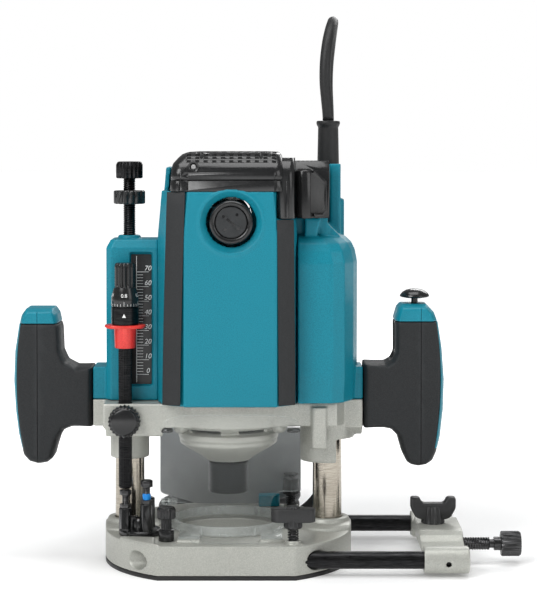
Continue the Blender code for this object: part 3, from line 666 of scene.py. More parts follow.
def make_stops():
    x, y = TURRET_AT
    low = BASE_TOP + GAP
    posts = [(180, 40.0), (-60, 44.4), (60, 45.5)]
    spots = [arc(TURRET_AT, 10.0, angle, angle, 1)[0] for angle, _ in posts]
    disc = [(0, low), (14.0, low), (14.3, low + 0.4), (14.3, 25.0), (13.4, 26), (0, 26)]
    webs = []
    for spot, (angle, top) in zip(spots, posts):
        along = Vector((spot[0] - x, spot[1] - y)).normalized()
        across = Vector((-along.y, along.x)) * 1.6
        ends = [
            Vector((x, y)) - across, Vector(spot) - across, Vector(spot) + across, Vector((x, y)) + across
        ]
        webs.append(plate([tuple(p) for p in ends], 24, min(top, 36.5) - 2))
    detents = [rod(1.6, 20, 30, (*arc(TURRET_AT, 15.2, a, a, 1)[0], 0), sides=24) for a in (0, 120, 240)]
    piece(
        "turret_body", "turret", "black_plastic", turned(disc, 96, (x, y, 0)),
        add=[
            turned([(0, 24), (4.6, 24), (4.3, top - 0.5), (3.8, top), (0, top)], 6, (*s, 0))
            for s, (_, top) in zip(spots, posts)
        ]
        + [turned([(0, 24), (5.4, 24), (5.4, 31), (4.6, 33), (0, 33)], 48, (x, y, 0))] + webs,
        cut=detents + [rod(2.6, 29, 60, (*spot, 0), sides=32) for spot in spots[:2]]
        + [turned([(0, 31.2), (2.6, 31.2), (2.6, 40), (0, 40)], 6, (x, y, 0))],
        edge=0.3, replaces="stopper_turret"
    )
    heads = {"low": (spots[0], 40.0), "high": (spots[1], 44.4)}
    for label, (spot, seat) in heads.items():
        low_corner, high_corner = box_mm(f"stopper_bolt_{label}")
        top, bottom = high_corner.z, low_corner.z
        neck = 48.9 if label == "low" else 55.8
        rows = [(2.35, z) for z in levels(bottom + 0.4, neck - 0.2, 0.2)]
        profile = [(0, bottom), (1.9, bottom), *rows, (2.3, neck), (0, neck)]
        head = turned(
            [(0, neck - 0.1), (4.1, neck - 0.1), (4.1, top - 0.5), (3.6, top), (0, top)], 6, (*spot, 0)
        )
        nut = turned(
            [(0, seat + GAP), (3.9, seat + GAP), (3.9, seat + 2.6), (0, seat + 2.6)], 6, (*spot, 0)
        )
        piece(
            f"stop_bolt_{label}", f"bolt_{label}", "bolt_steel", head, edge=0.25,
            extra=[
                turned(profile, 48, (*spot, 0), ripple=thread(0.8, 0.35, bottom + 0.4, neck - 0.2)), nut
            ],
            replaces=f"stopper_bolt_{label}"
        )
    band = [(0, 47.0), (2.55, 47.1), (2.85, 48.4), (2.8, 50.2), (2.45, 51.2), (0, 51.3)]

    def uneven(radius, height, turn):
        return radius - 0.18 * math.sin(3 * turn + height)

    paint = turned(band, 40, (*spots[1], 0), ripple=uneven)
    piece("bolt_thread_paint", "bolt_high", "thread_paint", paint)


def make_clamps():
    for side, y, turn in (("front", -ROD_Y, 0), ("rear", ROD_Y, 90)):
        low, high = box_mm(f"rod_clamp_{side}")
        at = (CLAMP_X, y, 0)
        wings = oblong(29.4, 11, 5.5, 10)
        if turn:
            wings = [(-b, a) for a, b in wings]
        top = high.z
        rows = [(6.2, 33.0), (6.2, 34.5), (5.9, 38), (5.2, 42), (4.4, top - 0.6), (3.6, top)]
        hub = turned(
            [(0, 32.4), (5.6, 32.4), *rows, (0, top)], 96, at, ripple=flutes(12, 0.85, 33.5, top - 0.5)
        )
        piece(
            f"rod_clamp_knob_{side}", f"rod_clamp_{side}", "knob_rubber", plate(wings, 36.6, 45.4, at=at),
            edge=2.2, extra=[hub], replaces=f"rod_clamp_{side}"
        )
        stud = turned([(0, low.z), (3.0, low.z), (3.0, 25), (2.0, 25.2), (2.0, 32.6), (0, 32.6)], 40, at)
        spring = helix(at, 3.3, 0.5, 25.2, 32.0, 4)
        piece(f"rod_clamp_spring_{side}", f"rod_clamp_{side}", "bolt_steel", spring, extra=[stud])
    lever = soften([(-4, -4), (9, -3.4), (11.4, -1), (11.4, 3), (9, 4), (-4, 4)], 2.2)
    at = (24.5, 67, 0)
    piece(
        "template_lever", "template_lever", "teal_shell", plate(lever, BASE_TOP + GAP, 30.9, at=at),
        edge=0.9, replaces="template_lock_lever"
    )


def make_guide():
    for side, y in (("front", -ROD_Y), ("rear", ROD_Y)):
        low, high = box_mm(f"guide_rod_{side}")
        profile = [(0, low.x), (ROD_RADIUS - 0.8, low.x), (ROD_RADIUS, low.x + 0.8)]
        profile += [(ROD_RADIUS, high.x - 0.8), (ROD_RADIUS - 0.8, high.x), (0, high.x)]
        bar = turned(profile, 72, (0, y, ROD_Z), "X")
        piece(f"fence_rod_{side}", "guide", "black_rod", bar, replaces=f"guide_rod_{side}")
    low, high = box_mm("guide_holder")
    nose = arc((-ROD_Y, ROD_Z), 8.8, 270, 90, 18)
    back = arc((ROD_Y, ROD_Z), 8.8, 90, -90, 18)
    dip = [
        (-53, 19.0), (-48, 15.8), (-42, 13.8), (-34, 13.5), (-28, 16.5), (-24, 20), (-19, 22.2),
        (-14, high.z)
    ]
    top = dip + [(24, high.z), (32, 18.8), (38, 16.4), (46, 16), (52, 17)]
    y, z = middle("fine_adjust_screw").y, middle("fine_adjust_screw").z
    bores = [rod(ROD_RADIUS + 0.4, 120, 155.4, (0, rod_y, ROD_Z), "X") for rod_y in (-ROD_Y, ROD_Y)]
    piece(
        "fence_holder", "guide", "cast_alloy",
        plate(nose + top + back + [(50, 5), (-50, 5)], low.x, high.x, "X"),
        cut=bores + [rod(4.9, 148, 170, (0, y, z), "X"), rod(3.4, 14, 30, (142.1, 5, 0))]
        + [
            rod(1.9, -80, -64, (146.4, 0, 9.6), "Y", 32),
            block((low.x - 5, -40, 0), (low.x + 3.5, 40, 12.5))
        ]
        + [
            block((low.x + 6, -42, 0), (high.x - 4, -20, 9.5)),
            block((low.x + 6, 8, 0), (high.x - 4, 46, 12))
        ],
        soft=(0.7, 3), replaces="guide_holder"
    )
    at = (142.1, 5, 0)
    wings = [
        (-15.7, 40.8), (-15.7, 33), (-12, 26.5), (-7, 25), (7, 25), (12, 26.5), (15.7, 33), (15.7, 40.8)
    ]
    wings += [(9.6, 40.8), (7.6, 36.6), (-7.6, 36.6), (-9.6, 40.8)]
    base_z = high.z + GAP
    rows = [(8, base_z), (8.2, base_z + 0.6), (7.4, 29), (6.6, 33.6), (5.6, 34.6)]
    hub = turned([(0, base_z), *rows, (0, 34.6)], 96, at, ripple=flutes(14, 0.8, base_z + 0.3, 34))
    piece(
        "fence_wing_knob", "wing_knob", "knob_rubber", plate(soften(wings, 2.0), -4.4, 4.4, "Y", at),
        edge=1.5, extra=[hub, rod(3, 15, base_z + 0.2, at)], replaces="guide_wing_knob"
    )
    low, high = box_mm("fine_adjust_screw")
    rows = [(4.4, x) for x in levels(low.x + 0.6, 178, 0.3)]
    profile = [
        (0, low.x), (3.8, low.x), *rows, (3, 178.3), (3, 181.2), (4.6, 181.4), (4.6, 185.8), (8.1, 186.1)
    ]
    profile += [
        (8.5, 186.8), (8.5, 198.2), (7.6, high.x), (4.2, high.x), (3.8, high.x - 0.8), (0, high.x - 0.8)
    ]

    def shape(radius, height, turn):
        if height > 186:
            return flutes(20, 0.8, high=high.x - 0.6)(radius, height, turn) if radius > 7 else radius
        return thread(1.75, 0.6, low.x + 0.6, 178)(radius, height, turn)

    screw = turned(profile, 100, (0, y, z), "X", ripple=shape)
    piece(
        "fence_fine_screw", "fine_screw", "bolt_steel", screw, replaces="fine_adjust_screw",
    )


# ---- motor ---------------------------------------------------------------------------------------------


def make_bracket():
    low = box_mm("motor_bracket")[0]
    left, right = (-COLUMN_X, 0), (COLUMN_X, 0)
    top = BRACKET_TOP
    outline = [(-84, 14), (-84, -36.5), (-43.5, -36.5)] + arc((1.5, 0), 45, 238, 312, 24)
    outline += [(52, -30), (74, -30)] + arc(right, 19, -55, 60, 20) + [(54, 30)]
    outline += arc((1.5, 0), 45, 45, 135, 24) + [(-60, 20)]
    bell = [
        (45, top), (44.7, 106), (43.4, 101), (40.8, 96.4), (37.0, 92.6), (33.0, 90.4), (31.2, 89.4),
        (31.6, 88.6)
    ]
    bell += [
        (34.4, 88.2), (34.6, 84.2), (33.2, 83.2), (33.2, 82.4), (34.0, 81.8), (33.6, 80.4), (30.0, 77.8)
    ]
    bell += [
        (22, 73.2), (16.4, 69.6), (15, 68), (9.6, 68), (9.6, 76.3), (15.3, 76.3), (15.3, 88), (29, 91),
        (37, 95)
    ]
    bell += [(41.5, top)]
    slots = [block((x, -46, 90.3), (x + 21.5, -20, 92.5)) for x in (-25.7, 7.2)]
    slots += [block((x, 20, 90.3), (x + 21.5, 46, 92.5)) for x in (-25.7, 7.2)]
    piece(
        "bracket_body", "motor", "cast_alloy", turned(bell, 120, hollow=True),
        add=[
            plate(outline, 95, top), block((-82, -36.5, 89.2), (-43.5, -9, 100)),
            turned([(12.9, low.z + 2), (13.4, low.z + 2.6), (13.4, 100)], 72, (*left, 0)),
            rod(18.7, low.z, 100, (*right, 0)), plate(oblong(10.8, 9, 3.4), 80.3, 108, at=(62, -29, 0)),
            block((-92.4, -15, 93), (-83, 15, top)), block((80, -15, 92), (92.4, 15, top)),
            rod(14.5, 80, 92.2, (0, 0, 100), "X"), rod(7.6, 16, 27, (-62, 0, 103), "Y"),
            ball(5.2, (-32, -24, 93.5), 0.8), ball(5.2, (35, -22, 93.5), 0.8)
        ],
        cut=[rod(41.2, 96.8, 120, sides=120), rod(36.5, 94.9, 97, sides=120)]
        + slots + [
            rod(4.95, 80, 120, (*POLE_AT, 0)), rod(3.5, -40, -30, (-68.9, 0, 100.3), "Y"),
            rod(3.9, 36, 50, (0, 0, 101), "Y"), block((74, -40, 60), (100, 40, 84)),
            block((92.4, -40, 60), (120, 40, 140)), block((60, -40, top), (120, 40, 160))
        ]
        + [rod(COLUMN_RADIUS + 0.35, 60, 120, (*at, 0)) for at in (left, right)],
        soft=(0.8, 4), replaces="motor_bracket"
    )
    for label, x in (("left", -41.3), ("right", 44.6)):
        at = (x, -33, 0)
        screw = turned([(0, 91.8), (4.2, 91.8), (4.6, 92.2), (4.6, 93.2), (3.6, 94.4), (0, 94.6)], 48, at)
        socket = turned([(0, 91), (2.2, 91), (2.2, 93), (0, 93)], 6, at)
        piece(f"bracket_screw_{label}", "motor", "bolt_steel", screw, cut=[socket], edge=0.2)


def shell_ring(z, side, thickness=0.0):
    """Half of the motor housing's section at a height: side -1 is the front, 1 the back."""
    fade = max(0.0, (z - 225.0) / (SHELL_TOP - 225.0))
    x = 47.0 - 4.0 * fade - thickness
    t = thickness
    seam = 0.2 * side
    if side < 0:
        half = [(x, seam), (x, -30 + t), (x - 3, -45.5 + t), (x - 13, -53.4 + t), (x - 13.3, -55.5 + t)]
        outer = half + [
            (-x + 18.3, -55.5 + t), (-x + 18, -53.4 + t), (-x + 5.5, -45.5 + t), (-x, -30 + t), (-x, seam)
        ]
    else:
        outer = [(x, seam), (x, 30 - t), (x - 6, 46 - t), (x - 19, 53.5 - t), (-x + 19, 53.5 - t)]
        outer += [(-x + 6, 46 - t), (-x, 30 - t), (-x, seam)]
    return outer


def shell(name, side, top, add, cut, node):
    rings = []
    for z in (SHELL_BOTTOM, 225.0, top):
        ring = shell_ring(z, side) + shell_ring(z, side, 3.2)[::-1]
        rings.append([(x, y, z) for x, y in ring])
    piece(name, "motor", "teal_shell", loft(rings), add=add, cut=cut, soft=(0.8, 3), replaces=node)


def make_housing():
    x, z = BRUSH_AT
    cap_bottom = box_mm("front_housing")[1].z
    dish = turned(
        [(20.4, -60), (20.4, -55.5), (16.6, -52.6), (15.2, -52.2), (15.2, -40)], 96, (x, 0, z), "Y"
    )
    corner = block((32.8, -70, 236.3), (60, 10, 300))
    lip = turned(
        [(23.0, -55.2), (21.8, -56.0), (20.2, -56.0), (19.6, -55.2)], 96, (x, 0, z), "Y", hollow=True
    )
    shell("housing_front", -1, cap_bottom, [lip], [dish, corner], "front_housing")
    rear_dish = turned([(20, 60), (20, 53.4), (15.2, 50.6), (15.2, 40)], 96, (0, 0, z), "Y")
    slots = [block((-20, 50, h), (20, 60, h + 3.2)) for h in (128, 136, 144, 152)]
    shell("housing_rear", 1, SHELL_TOP, [], [rear_dish] + slots, "rear_housing")
    for side, sign, at_x in (("front", -1, x), ("rear", 1, 0.0)):
        low, high = box_mm(f"brush_cap_{side}")
        face = low.y if sign < 0 else high.y
        back = high.y if sign < 0 else low.y

        def inward(depth, face=face, sign=sign):
            return face - sign * depth

        profile = [
            (0, inward(1.0)), (10.4, inward(1.0)), (10.7, inward(1.9)), (11.1, inward(0.5)),
            (12.0, inward(0.0))
        ]
        profile += [(13.4, inward(0.0)), (14.4, inward(0.9)), (14.6, inward(2.0)), (14.6, back), (0, back)]
        centre = (at_x, 0, z)
        slot = block((-3.7, -0.8, -0.7), (3.7, 0.8, 0.7))
        bmesh.ops.rotate(slot, verts=slot.verts, matrix=Matrix.Rotation(math.radians(40), 3, "Y"))
        bmesh.ops.translate(slot, verts=slot.verts, vec=(at_x, inward(1.2), z))
        disc = turned(
            [(0, inward(0.7)), (9.9, inward(0.7)), (10.3, inward(1.1)), (10.3, inward(3)), (0, inward(3))],
            72, (at_x, 0, z), "Y"
        )
        dots = []
        for angle in (53, 142, 231, 319):
            spot = arc((at_x, z), 6.4, angle, angle, 1)[0]
            dots.append(
                rod(1.0, min(face, inward(3)), max(face, inward(3)), (spot[0], 0, spot[1]), "Y", 32)
            )
        piece(
            f"brush_holder_{side}", "motor", "black_plastic", turned(profile, 96, centre, "Y"), edge=0.18,
            replaces=f"brush_cap_{side}"
        )
        piece(f"brush_disc_{side}", "motor", "grip_rubber", disc, cut=[slot] + dots)
    strips = {
        "left": ([(-42.4, -48.4), (-30.8, -54.0), (-30.8, -56.0), (-43.2, -50.2)], 254.4, 3.2),
        "right": ([(34.4, -54.0), (44.8, -48.4), (45.8, -50.2), (34.4, -56.0)], 236.0, -1.2)
    }
    for label, (outline, top, lean) in strips.items():
        rings = []
        for height in levels(SHELL_BOTTOM + 1, top, 12):
            shift = lean * ((height - SHELL_BOTTOM) / 140.0) ** 1.4
            rings.append([(px + shift, py, height) for px, py in outline])
        piece(
            f"side_strip_{label}", "motor", "strip_rubber", loft(rings), edge=0.5,
            replaces=f"rubber_strip_{label}"
        )


def make_vent_cap():
    low, high = box_mm("vent_cap")
    bottom = box_mm("front_housing")[1].z + GAP
    left, right, front, back, top = low.x, 38.4, low.y, high.y, high.z
    # Height, then how far the left, the right and the front and back sides stand in
    rows = [(bottom, 0, 0, 0), (261.6, 0.4, 0, 0.5), (262.3, 0.8, 0.2, 1.5), (263.0, 0.7, 0, 0.9)]
    rows += [(265, 0.7, 0, 0.6), (268, 0.9, 0.2, 1.0), (270.6, 1.2, 0.4, 2.2), (272.4, 1.6, 0.7, 3.7)]
    rows += [
        (273.4, 2.0, 0.9, 5.0), (277, 5.2, 1.4, 8.5), (279.4, 7.8, 2.2, 12), (280.6, 11, 4, 17),
        (top, 18, 10, 26)
    ]

    def ring(z, left_in, right_in, front_in):
        x0, x1, y0, y1 = left + left_in, right - right_in, front + front_in, back - front_in
        corner = oblong(x1 - x0, y1 - y0, 7.0, 10)
        return [((x0 + x1) / 2 + x, (y0 + y1) / 2 + y, z) for x, y in corner]

    inner = [
        (bottom - 5, 3.2, 3.2, 3.2), (264, 3.8, 3.2, 4.0), (270, 4.8, 3.6, 7.0), (274, 9, 6, 14),
        (277, 16, 10, 22)
    ]
    slots = []
    columns = [-8.3 + 5.66 * k for k in range(-3, 8)]
    depths = [(5.5, 7.0), (7.9, 9.5), (10.5, 13.4)] + [(17 + 6 * k, 21 + 6 * k) for k in range(10)]
    for x in columns:
        for near, far in depths:
            slots.append(block((x - 1.35, front + near, 268.5), (x + 1.35, front + far, top + 3)))
    seams = [
        block((x - 0.22, front - 2, bottom + 0.8), (x + 0.22, front + 0.9, 272.2))
        for x in (-30.8, -25.5, 32.0)
    ]
    boss = turned(
        [(3.6, front + 0.9), (3.6, front + 6), (2.4, front + 6), (2.4, front + 1.5)], 48, (-22.0, 0, 271.2),
        "Y", True
    )
    piece(
        "top_vent_cap", "motor", "black_plastic", loft([ring(*row) for row in rows]),
        add=[boss] + [rod(1.1, 270, top - 0.1, (x, front + 8.8, 0), sides=20) for x in (-16.9, 22.7)],
        cut=[loft([ring(*row) for row in inner])] + slots + seams, edge=0.3, replaces="vent_cap"
    )
    screw = turned(
        [(0, front + 1.6), (1.5, front + 1.6), (2.1, front + 2.3), (2.1, front + 6), (0, front + 6)], 40,
        (-22.0, 0, 271.2), "Y"
    )
    piece("cap_screw", "motor", "shaft_steel", screw)

    # The rounded column at the cap's right front corner
    corner = soften([(33.6, -52.6), (44.6, -51.6), (45.9, -36), (33.6, -38)], 4.0)
    rings = []
    for z, back_off in [(236.8, 0), (262, 0), (267, 1.0), (271, 3.2), (274.6, 7.0), (277, 11)]:
        rings.append([(x, min(y + back_off, -35), z) for x, y in corner])
    ridge = soften([(39.4, -53.0), (41.0, -53.0), (41.0, -50), (39.4, -50)], 0.5)
    piece("cap_corner", "motor", "black_plastic", loft(rings), add=[plate(ridge, 237.6, 262)], edge=0.5)

    # The switch's housing: a half-round front, and a recess with a slanting edge on its right
    low, high = box_mm("switch_cover")
    near = low.y + 5
    side = [
        (near, 240), (near + 2, low.z), (high.y, low.z), (high.y, 270), (12, high.z), (-28, high.z),
        (near, 268)
    ]
    louvres = [block((x, -24, high.z - 1.6), (x + 1.5, 10, high.z + 1)) for x in levels(47.5, 65.5, 3.0)]
    round_front = turned(
        [(7.2, low.z + 0.1), (7.4, low.z + 0.4), (7.4, 265.6), (6.6, 268), (4.4, 269.6)], 96,
        (51.6, low.y + 7.4, 0)
    )
    frame_outline = [(58.4, 237.6), (64.6, 237.6), (66.8, 240.8), (66.8, 260.9), (58.4, 269.4)]
    inside = [(56, 239.4), (63.8, 239.4), (65.2, 241.6), (65.2, 260.2), (58.6, 266.8), (56, 266.8)]
    piece(
        "switch_housing", "motor", "black_plastic", plate(side, low.x - 1.5, high.x, "X"),
        add=[round_front, plate(frame_outline, low.y + 2.4, near + 2, "Y")],
        cut=[plate(inside, low.y, near + 0.6, "Y"), *louvres], edge=0.45, replaces="switch_cover"
    )


def make_gauge_cover():
    at = (-COLUMN_X, 0, 0)
    low, high = box_mm("gauge_cover")
    outline = [(-83, 14), (-83, -16.5), (-79.5, -20.2), (-47.5, -20.2), (-47.5, 18), (-79, 18)]
    shoulder = [(-80, 12), (-80, -13.5), (-77, -17.4), (-47.5, -17.4), (-47.5, 15.6), (-77, 15.6)]
    rings = [[(x, y, z) for x, y in outline] for z in (SHELL_BOTTOM, 215.5)]
    rings.append([(x, y, 221) for x, y in shoulder])
    recess_low, recess_high = box_mm("scale_plate")
    piece(
        "gauge_tower", "motor", "teal_shell", loft(rings),
        add=[
            turned([(7.8, 215), (7.8, 222.6), (7.0, 223.4)], 64, at),
            block((-92.4, -14, SHELL_BOTTOM), (-80, 14, NECK_TOP)),
            plate([(-92.4, 108), (-72, 108), (-72, 130), (-86, NECK_TOP)], -14, 14, "Y")
        ],
        cut=[
            rod(COLUMN_RADIUS + 0.6, 100, COVER_CEILING, at), rod(5.0, 200, 230, at),
            block((-66.6, -25, 121.4), (-51.2, recess_low.y - 0.1 + 0.9, 212.4)),
            block((-100, -40, 100), (-40, 40, SHELL_BOTTOM))
        ],
        soft=(0.7, 3), replaces="gauge_cover"
    )
    low, high = recess_low, recess_high
    front = low.y
    piece(
        "scale_strip", "motor", "scale_print",
        plate(
            oblong(high.x - low.x, high.z - low.z, 0.8, 4), low.y + 0.06, high.y, "Y",
            ((low.x + high.x) / 2, 0, (low.z + high.z) / 2)
        ),
        edge=0.12, replaces="scale_plate"
    )
    zero, line_x = 129.0, -62.2
    marks = [block((line_x - 0.16, front, low.z + 1.2), (line_x + 0.16, front + 0.08, high.z - 1.2))]
    for step in range(36):
        z = zero + 2 * step
        end = line_x + (8.2 if step % 5 == 0 else 4.4)
        marks.append(block((line_x, front, z - 0.16), (end, front + 0.08, z + 0.16)))
    marks += [printed(str(10 * n), 3.5, (-54.6, front + 0.04, zero + 10 * n + 2.4), 0.2) for n in range(8)]
    piece("scale_marks", "motor", "white_print", marks[0], extra=marks[1:])


def printed(text, height, at, shear=0.0, wrap=None):
    """Flat figures facing the front. wrap(x, z) bends them round a dial."""
    curve = bpy.data.curves.new("figures", "FONT")
    curve.body = text
    curve.size = height * 1.38
    curve.shear = shear
    curve.align_x = "CENTER"
    curve.align_y = "CENTER"
    curve.extrude = 0.04
    curve.resolution_u = 4
    obj = bpy.data.objects.new("figures", curve)
    bpy.context.scene.collection.objects.link(obj)
    bpy.context.view_layer.update()
    data = bpy.data.meshes.new_from_object(obj.evaluated_get(bpy.context.evaluated_depsgraph_get()))
    mesh = bmesh.new()
    mesh.from_mesh(data)
    for vertex in mesh.verts:
        x, z, out = vertex.co
        vertex.co = wrap(x, z, out) if wrap else (at[0] + x, at[1] - out, at[2] + z)
    bpy.data.objects.remove(obj)
    bpy.data.curves.remove(curve)
    bpy.data.meshes.remove(data)
    return mesh


def make_right_cover():
    def outline(inset):
        front = -37.8 + inset
        points = [(47.4, front), (71 - inset, front), (79 - inset, front + 4), (85.5 - inset, -20)]
        points += [
            (88.6 - inset, -6), (88.6 - inset, 9), (85 - inset, 22), (77, 33 - inset), (47.4, 34 - inset)
        ]
        return points

    at = (COLUMN_X, 0, 0)
    steps = [(SHELL_BOTTOM, 0.8), (130, 0), (206, 0), (214, 1.6), (219, 4), (222.6, 8), (224, 13)]
    # A small triangular web and a tab stand in front of the shoulder
    gusset = plate([(52.4, 205), (56.6, 212), (59.5, 219.5), (63.0, 236), (52.4, 236)], -27.5, -18, "Y")
    tab = plate([(62.8, 222), (62.8, 238.5), (68.0, 238.5), (68.0, 222)], -21.5, -16, "Y")
    shoulder = plate([(45, 215), (45, 236), (58, 236), (68, 232), (76, 224), (80, 212)], -20, 22, "Y")
    piece(
        "column_cover_right", "motor", "teal_shell",
        loft([[(x, y, z) for x, y in outline(inset)] for z, inset in steps]),
        add=[
            gusset, tab, shoulder, plate(oblong(8, 11, 2), 215, 272, at=(74.4, 25.5, 0)),
            block((58, 25, 200), (81, 52, 247.2)), block((82, -14, SHELL_BOTTOM), (92.4, 14, NECK_TOP))
        ],
        cut=[rod(COLUMN_RADIUS + 0.6, 100, COVER_CEILING, at)], soft=(0.8, 3), replaces="right_cover"
    )


def grip_outline(side):
    """The grip's outline (x, z), from the neck's top round the upper and the lower lobe."""
    if side < 0:
        inner_top = [
            (-92.7, 133.4), (-104, 133.4), (-111, 137), (-114.2, 144), (-114.8, 159.2), (-117.2, 169.6)
        ]
        outer = [(-120, 173.6), (-138.2, 173.6), (-141.6, 169), (-143.4, 162), (-146.2, 144), (-147, 123.7)]
        outer += [(-145.8, 103), (-143.8, 87.5), (-140.5, 73), (-136.5, 68.4), (-130.2, 66.6), (-124, 67.6)]
        inner = [(-120.3, 70.6), (-118.6, 77), (-116.4, 84), (-112.8, 90), (-107, 92.3), (-92.7, 92.3)]
        return inner_top + outer + inner
    inner_top = [
        (92.7, 135.8), (108, 135.8), (112, 138.2), (114.2, 143), (114.2, 166), (116.4, 173.5), (119, 176.3)
    ]
    outer = [(136, 176.3), (141.1, 170.9), (143.8, 164), (146.6, 146.4), (148.2, 124.7), (147.6, 104)]
    outer += [(145.5, 85.7), (143, 75), (140.2, 68.8), (136, 66), (130.6, 65)]
    inner = [
        (125.6, 66), (122.6, 68.1), (119.8, 73.6), (116.4, 85.7), (112, 90.4), (107, 91.4), (92.7, 91.4)
    ]
    return inner_top + outer + inner


def inset_outline(outline, inset):
    """The outline drawn inwards by a distance, point by point."""
    pairs = list(zip(outline, outline[1:] + outline[:1]))
    spin = math.copysign(1, sum(a[0] * b[1] - b[0] * a[1] for a, b in pairs))
    moved = []
    for index, point in enumerate(outline):
        along = (Vector(outline[(index + 1) % len(outline)]) - Vector(outline[index - 1])).normalized()
        moved.append(Vector(point) + Vector((-along.y, along.x)) * inset * spin)
    return moved


def grip_solid(side):
    deep = 18.0
    steps = [
        (-deep, 3.0), (-deep + 1.4, 1.9), (-deep + 4, 0.8), (-deep + 8, 0.0), (deep - 8, 0.0),
        (deep - 4, 0.8)
    ]
    steps += [(deep - 1.4, 1.9), (deep, 3.0)]
    return loft([[(p.x, y, p.y) for p in inset_outline(grip_outline(side), inset)] for y, inset in steps])


def make_handles():
    for side, label in ((-1, "left"), (1, "right")):
        cap_from = 163.4 if side < 0 else 165.0
        seam = -130.2 if side < 0 else 131.9
        near, far = sorted((90 * side, 160 * side))
        above = block((near, -30, cap_from - GAP), (far, 30, 190))
        below = block((near, -30, 40), (far, 30, cap_from))
        # The coloured inlay is what lies outside a large circle, so it thins out at its lower end
        radius, rim = 280.0, (144.4 if side < 0 else 145.4)
        centre = (side * (rim - radius), 0, 125.0)
        middle_at = (centre[0], centre[2])
        ends = [math.degrees(math.asin((z - centre[2]) / radius)) for z in (78.0, cap_from)]
        if side < 0:
            ends = [180 - angle for angle in ends]
        crescent = arc(middle_at, radius, *ends, 60) + arc(middle_at, radius + 20, *ends[::-1], 60)
        inlay_cuts = [rod(radius, -30, 30, centre, "Y", 360), block((near, -30, 40), (far, 30, 78))]
        inlay_cuts.append(block((near, -30, cap_from - GAP), (far, 30, 190)))
        bore = (2.6, 150, 190, (middle("lock_button").x, 0, 0))
        sockets = [block((108, -9.3, 137.6), (126.5, 9.3, 165.1)), rod(*bore)] if side > 0 else []
        seam_cut = block((seam - 0.22, -30, 50), (seam + 0.22, -16.2, 190))
        seam_back = block((seam - 0.22, 16.2, 50), (seam + 0.22, 30, 190))
        piece(
            f"grip_{label}", "motor", "grip_rubber", grip_solid(side),
            cut=[above, plate(crescent, -30, 30, "Y")] + sockets, soft=(0.8, 4),
            split=[seam_cut, seam_back], replaces=f"handle_{label}"
        )
        piece(
            f"grip_inlay_{label}", "motor", "teal_shell", grip_solid(side), cut=inlay_cuts, edge=0.25,
        )
        piece(
            f"grip_cap_{label}", "motor", "teal_shell", grip_solid(side),
            cut=[below] + ([rod(*bore)] if side > 0 else []), soft=(0.7, 4),
            split=[block((seam - 0.2, -30, 150), (seam + 0.2, -16.6, 190))], replaces=f"handle_{label}_cap"
        )
    low, high = box_mm("trigger")
    finger = soften(
        [(low.x, 139.2), (high.x - 0.5, 138.0), (high.x, 164.6), (low.x + 0.4, 164.2), (low.x + 1.6, 152)],
        1.4
    )
    piece(
        "switch_trigger", "trigger", "black_plastic", plate(finger, -9, 9, "Y"), edge=0.7,
        replaces="trigger"
    )
    at = (middle("lock_button").x, 0, 0)
    top = box_mm("lock_button")[1].z
    profile = [
        (0, 160), (2.3, 160), (2.3, top - 6.5), (6.5, top - 6.3), (9.8, top - 5.6), (10.2, top - 4.9),
        (9.9, top - 4.0)
    ]
    profile += [(8.4, top - 2.2), (6.0, top - 0.8), (3.2, top - 0.1), (0, top)]
    piece(
        "switch_lock_button", "lock_button", "black_plastic", turned(profile, 80, at),
        replaces="lock_button"
    )


def make_levers():
    at = (-62, 0, 103)
    low, high = box_mm("plunge_lock_lever")
    hub = turned([(0, low.y), (8.5, low.y), (8.5, high.y - 1), (7.5, high.y), (0, high.y)], 64, at, "Y")
    arm = soften([(-4, -6), (-18, -2.5), (-19.5, 0), (-18, 2.5), (-4, 6), (0, 0)], 1.5)
    piece(
        "plunge_lever", "plunge_lock", "black_plastic", hub, add=[plate(arm, 28.4, 34, "Y", at)], edge=0.8,
        replaces="plunge_lock_lever"
    )
    low, high = box_mm("shaft_lock_button")
    profile = [
        (0, low.y), (3.5, low.y), (3.5, 49), (6.1, 49), (6.5, 49.4), (6.5, high.y - 0.8), (5.8, high.y),
        (0, high.y - 0.5)
    ]
    button = turned(profile, 64, (0, 0, 101), "Y")
    piece("spindle_lock_button", "shaft_lock", "black_plastic", button, replaces="shaft_lock_button")


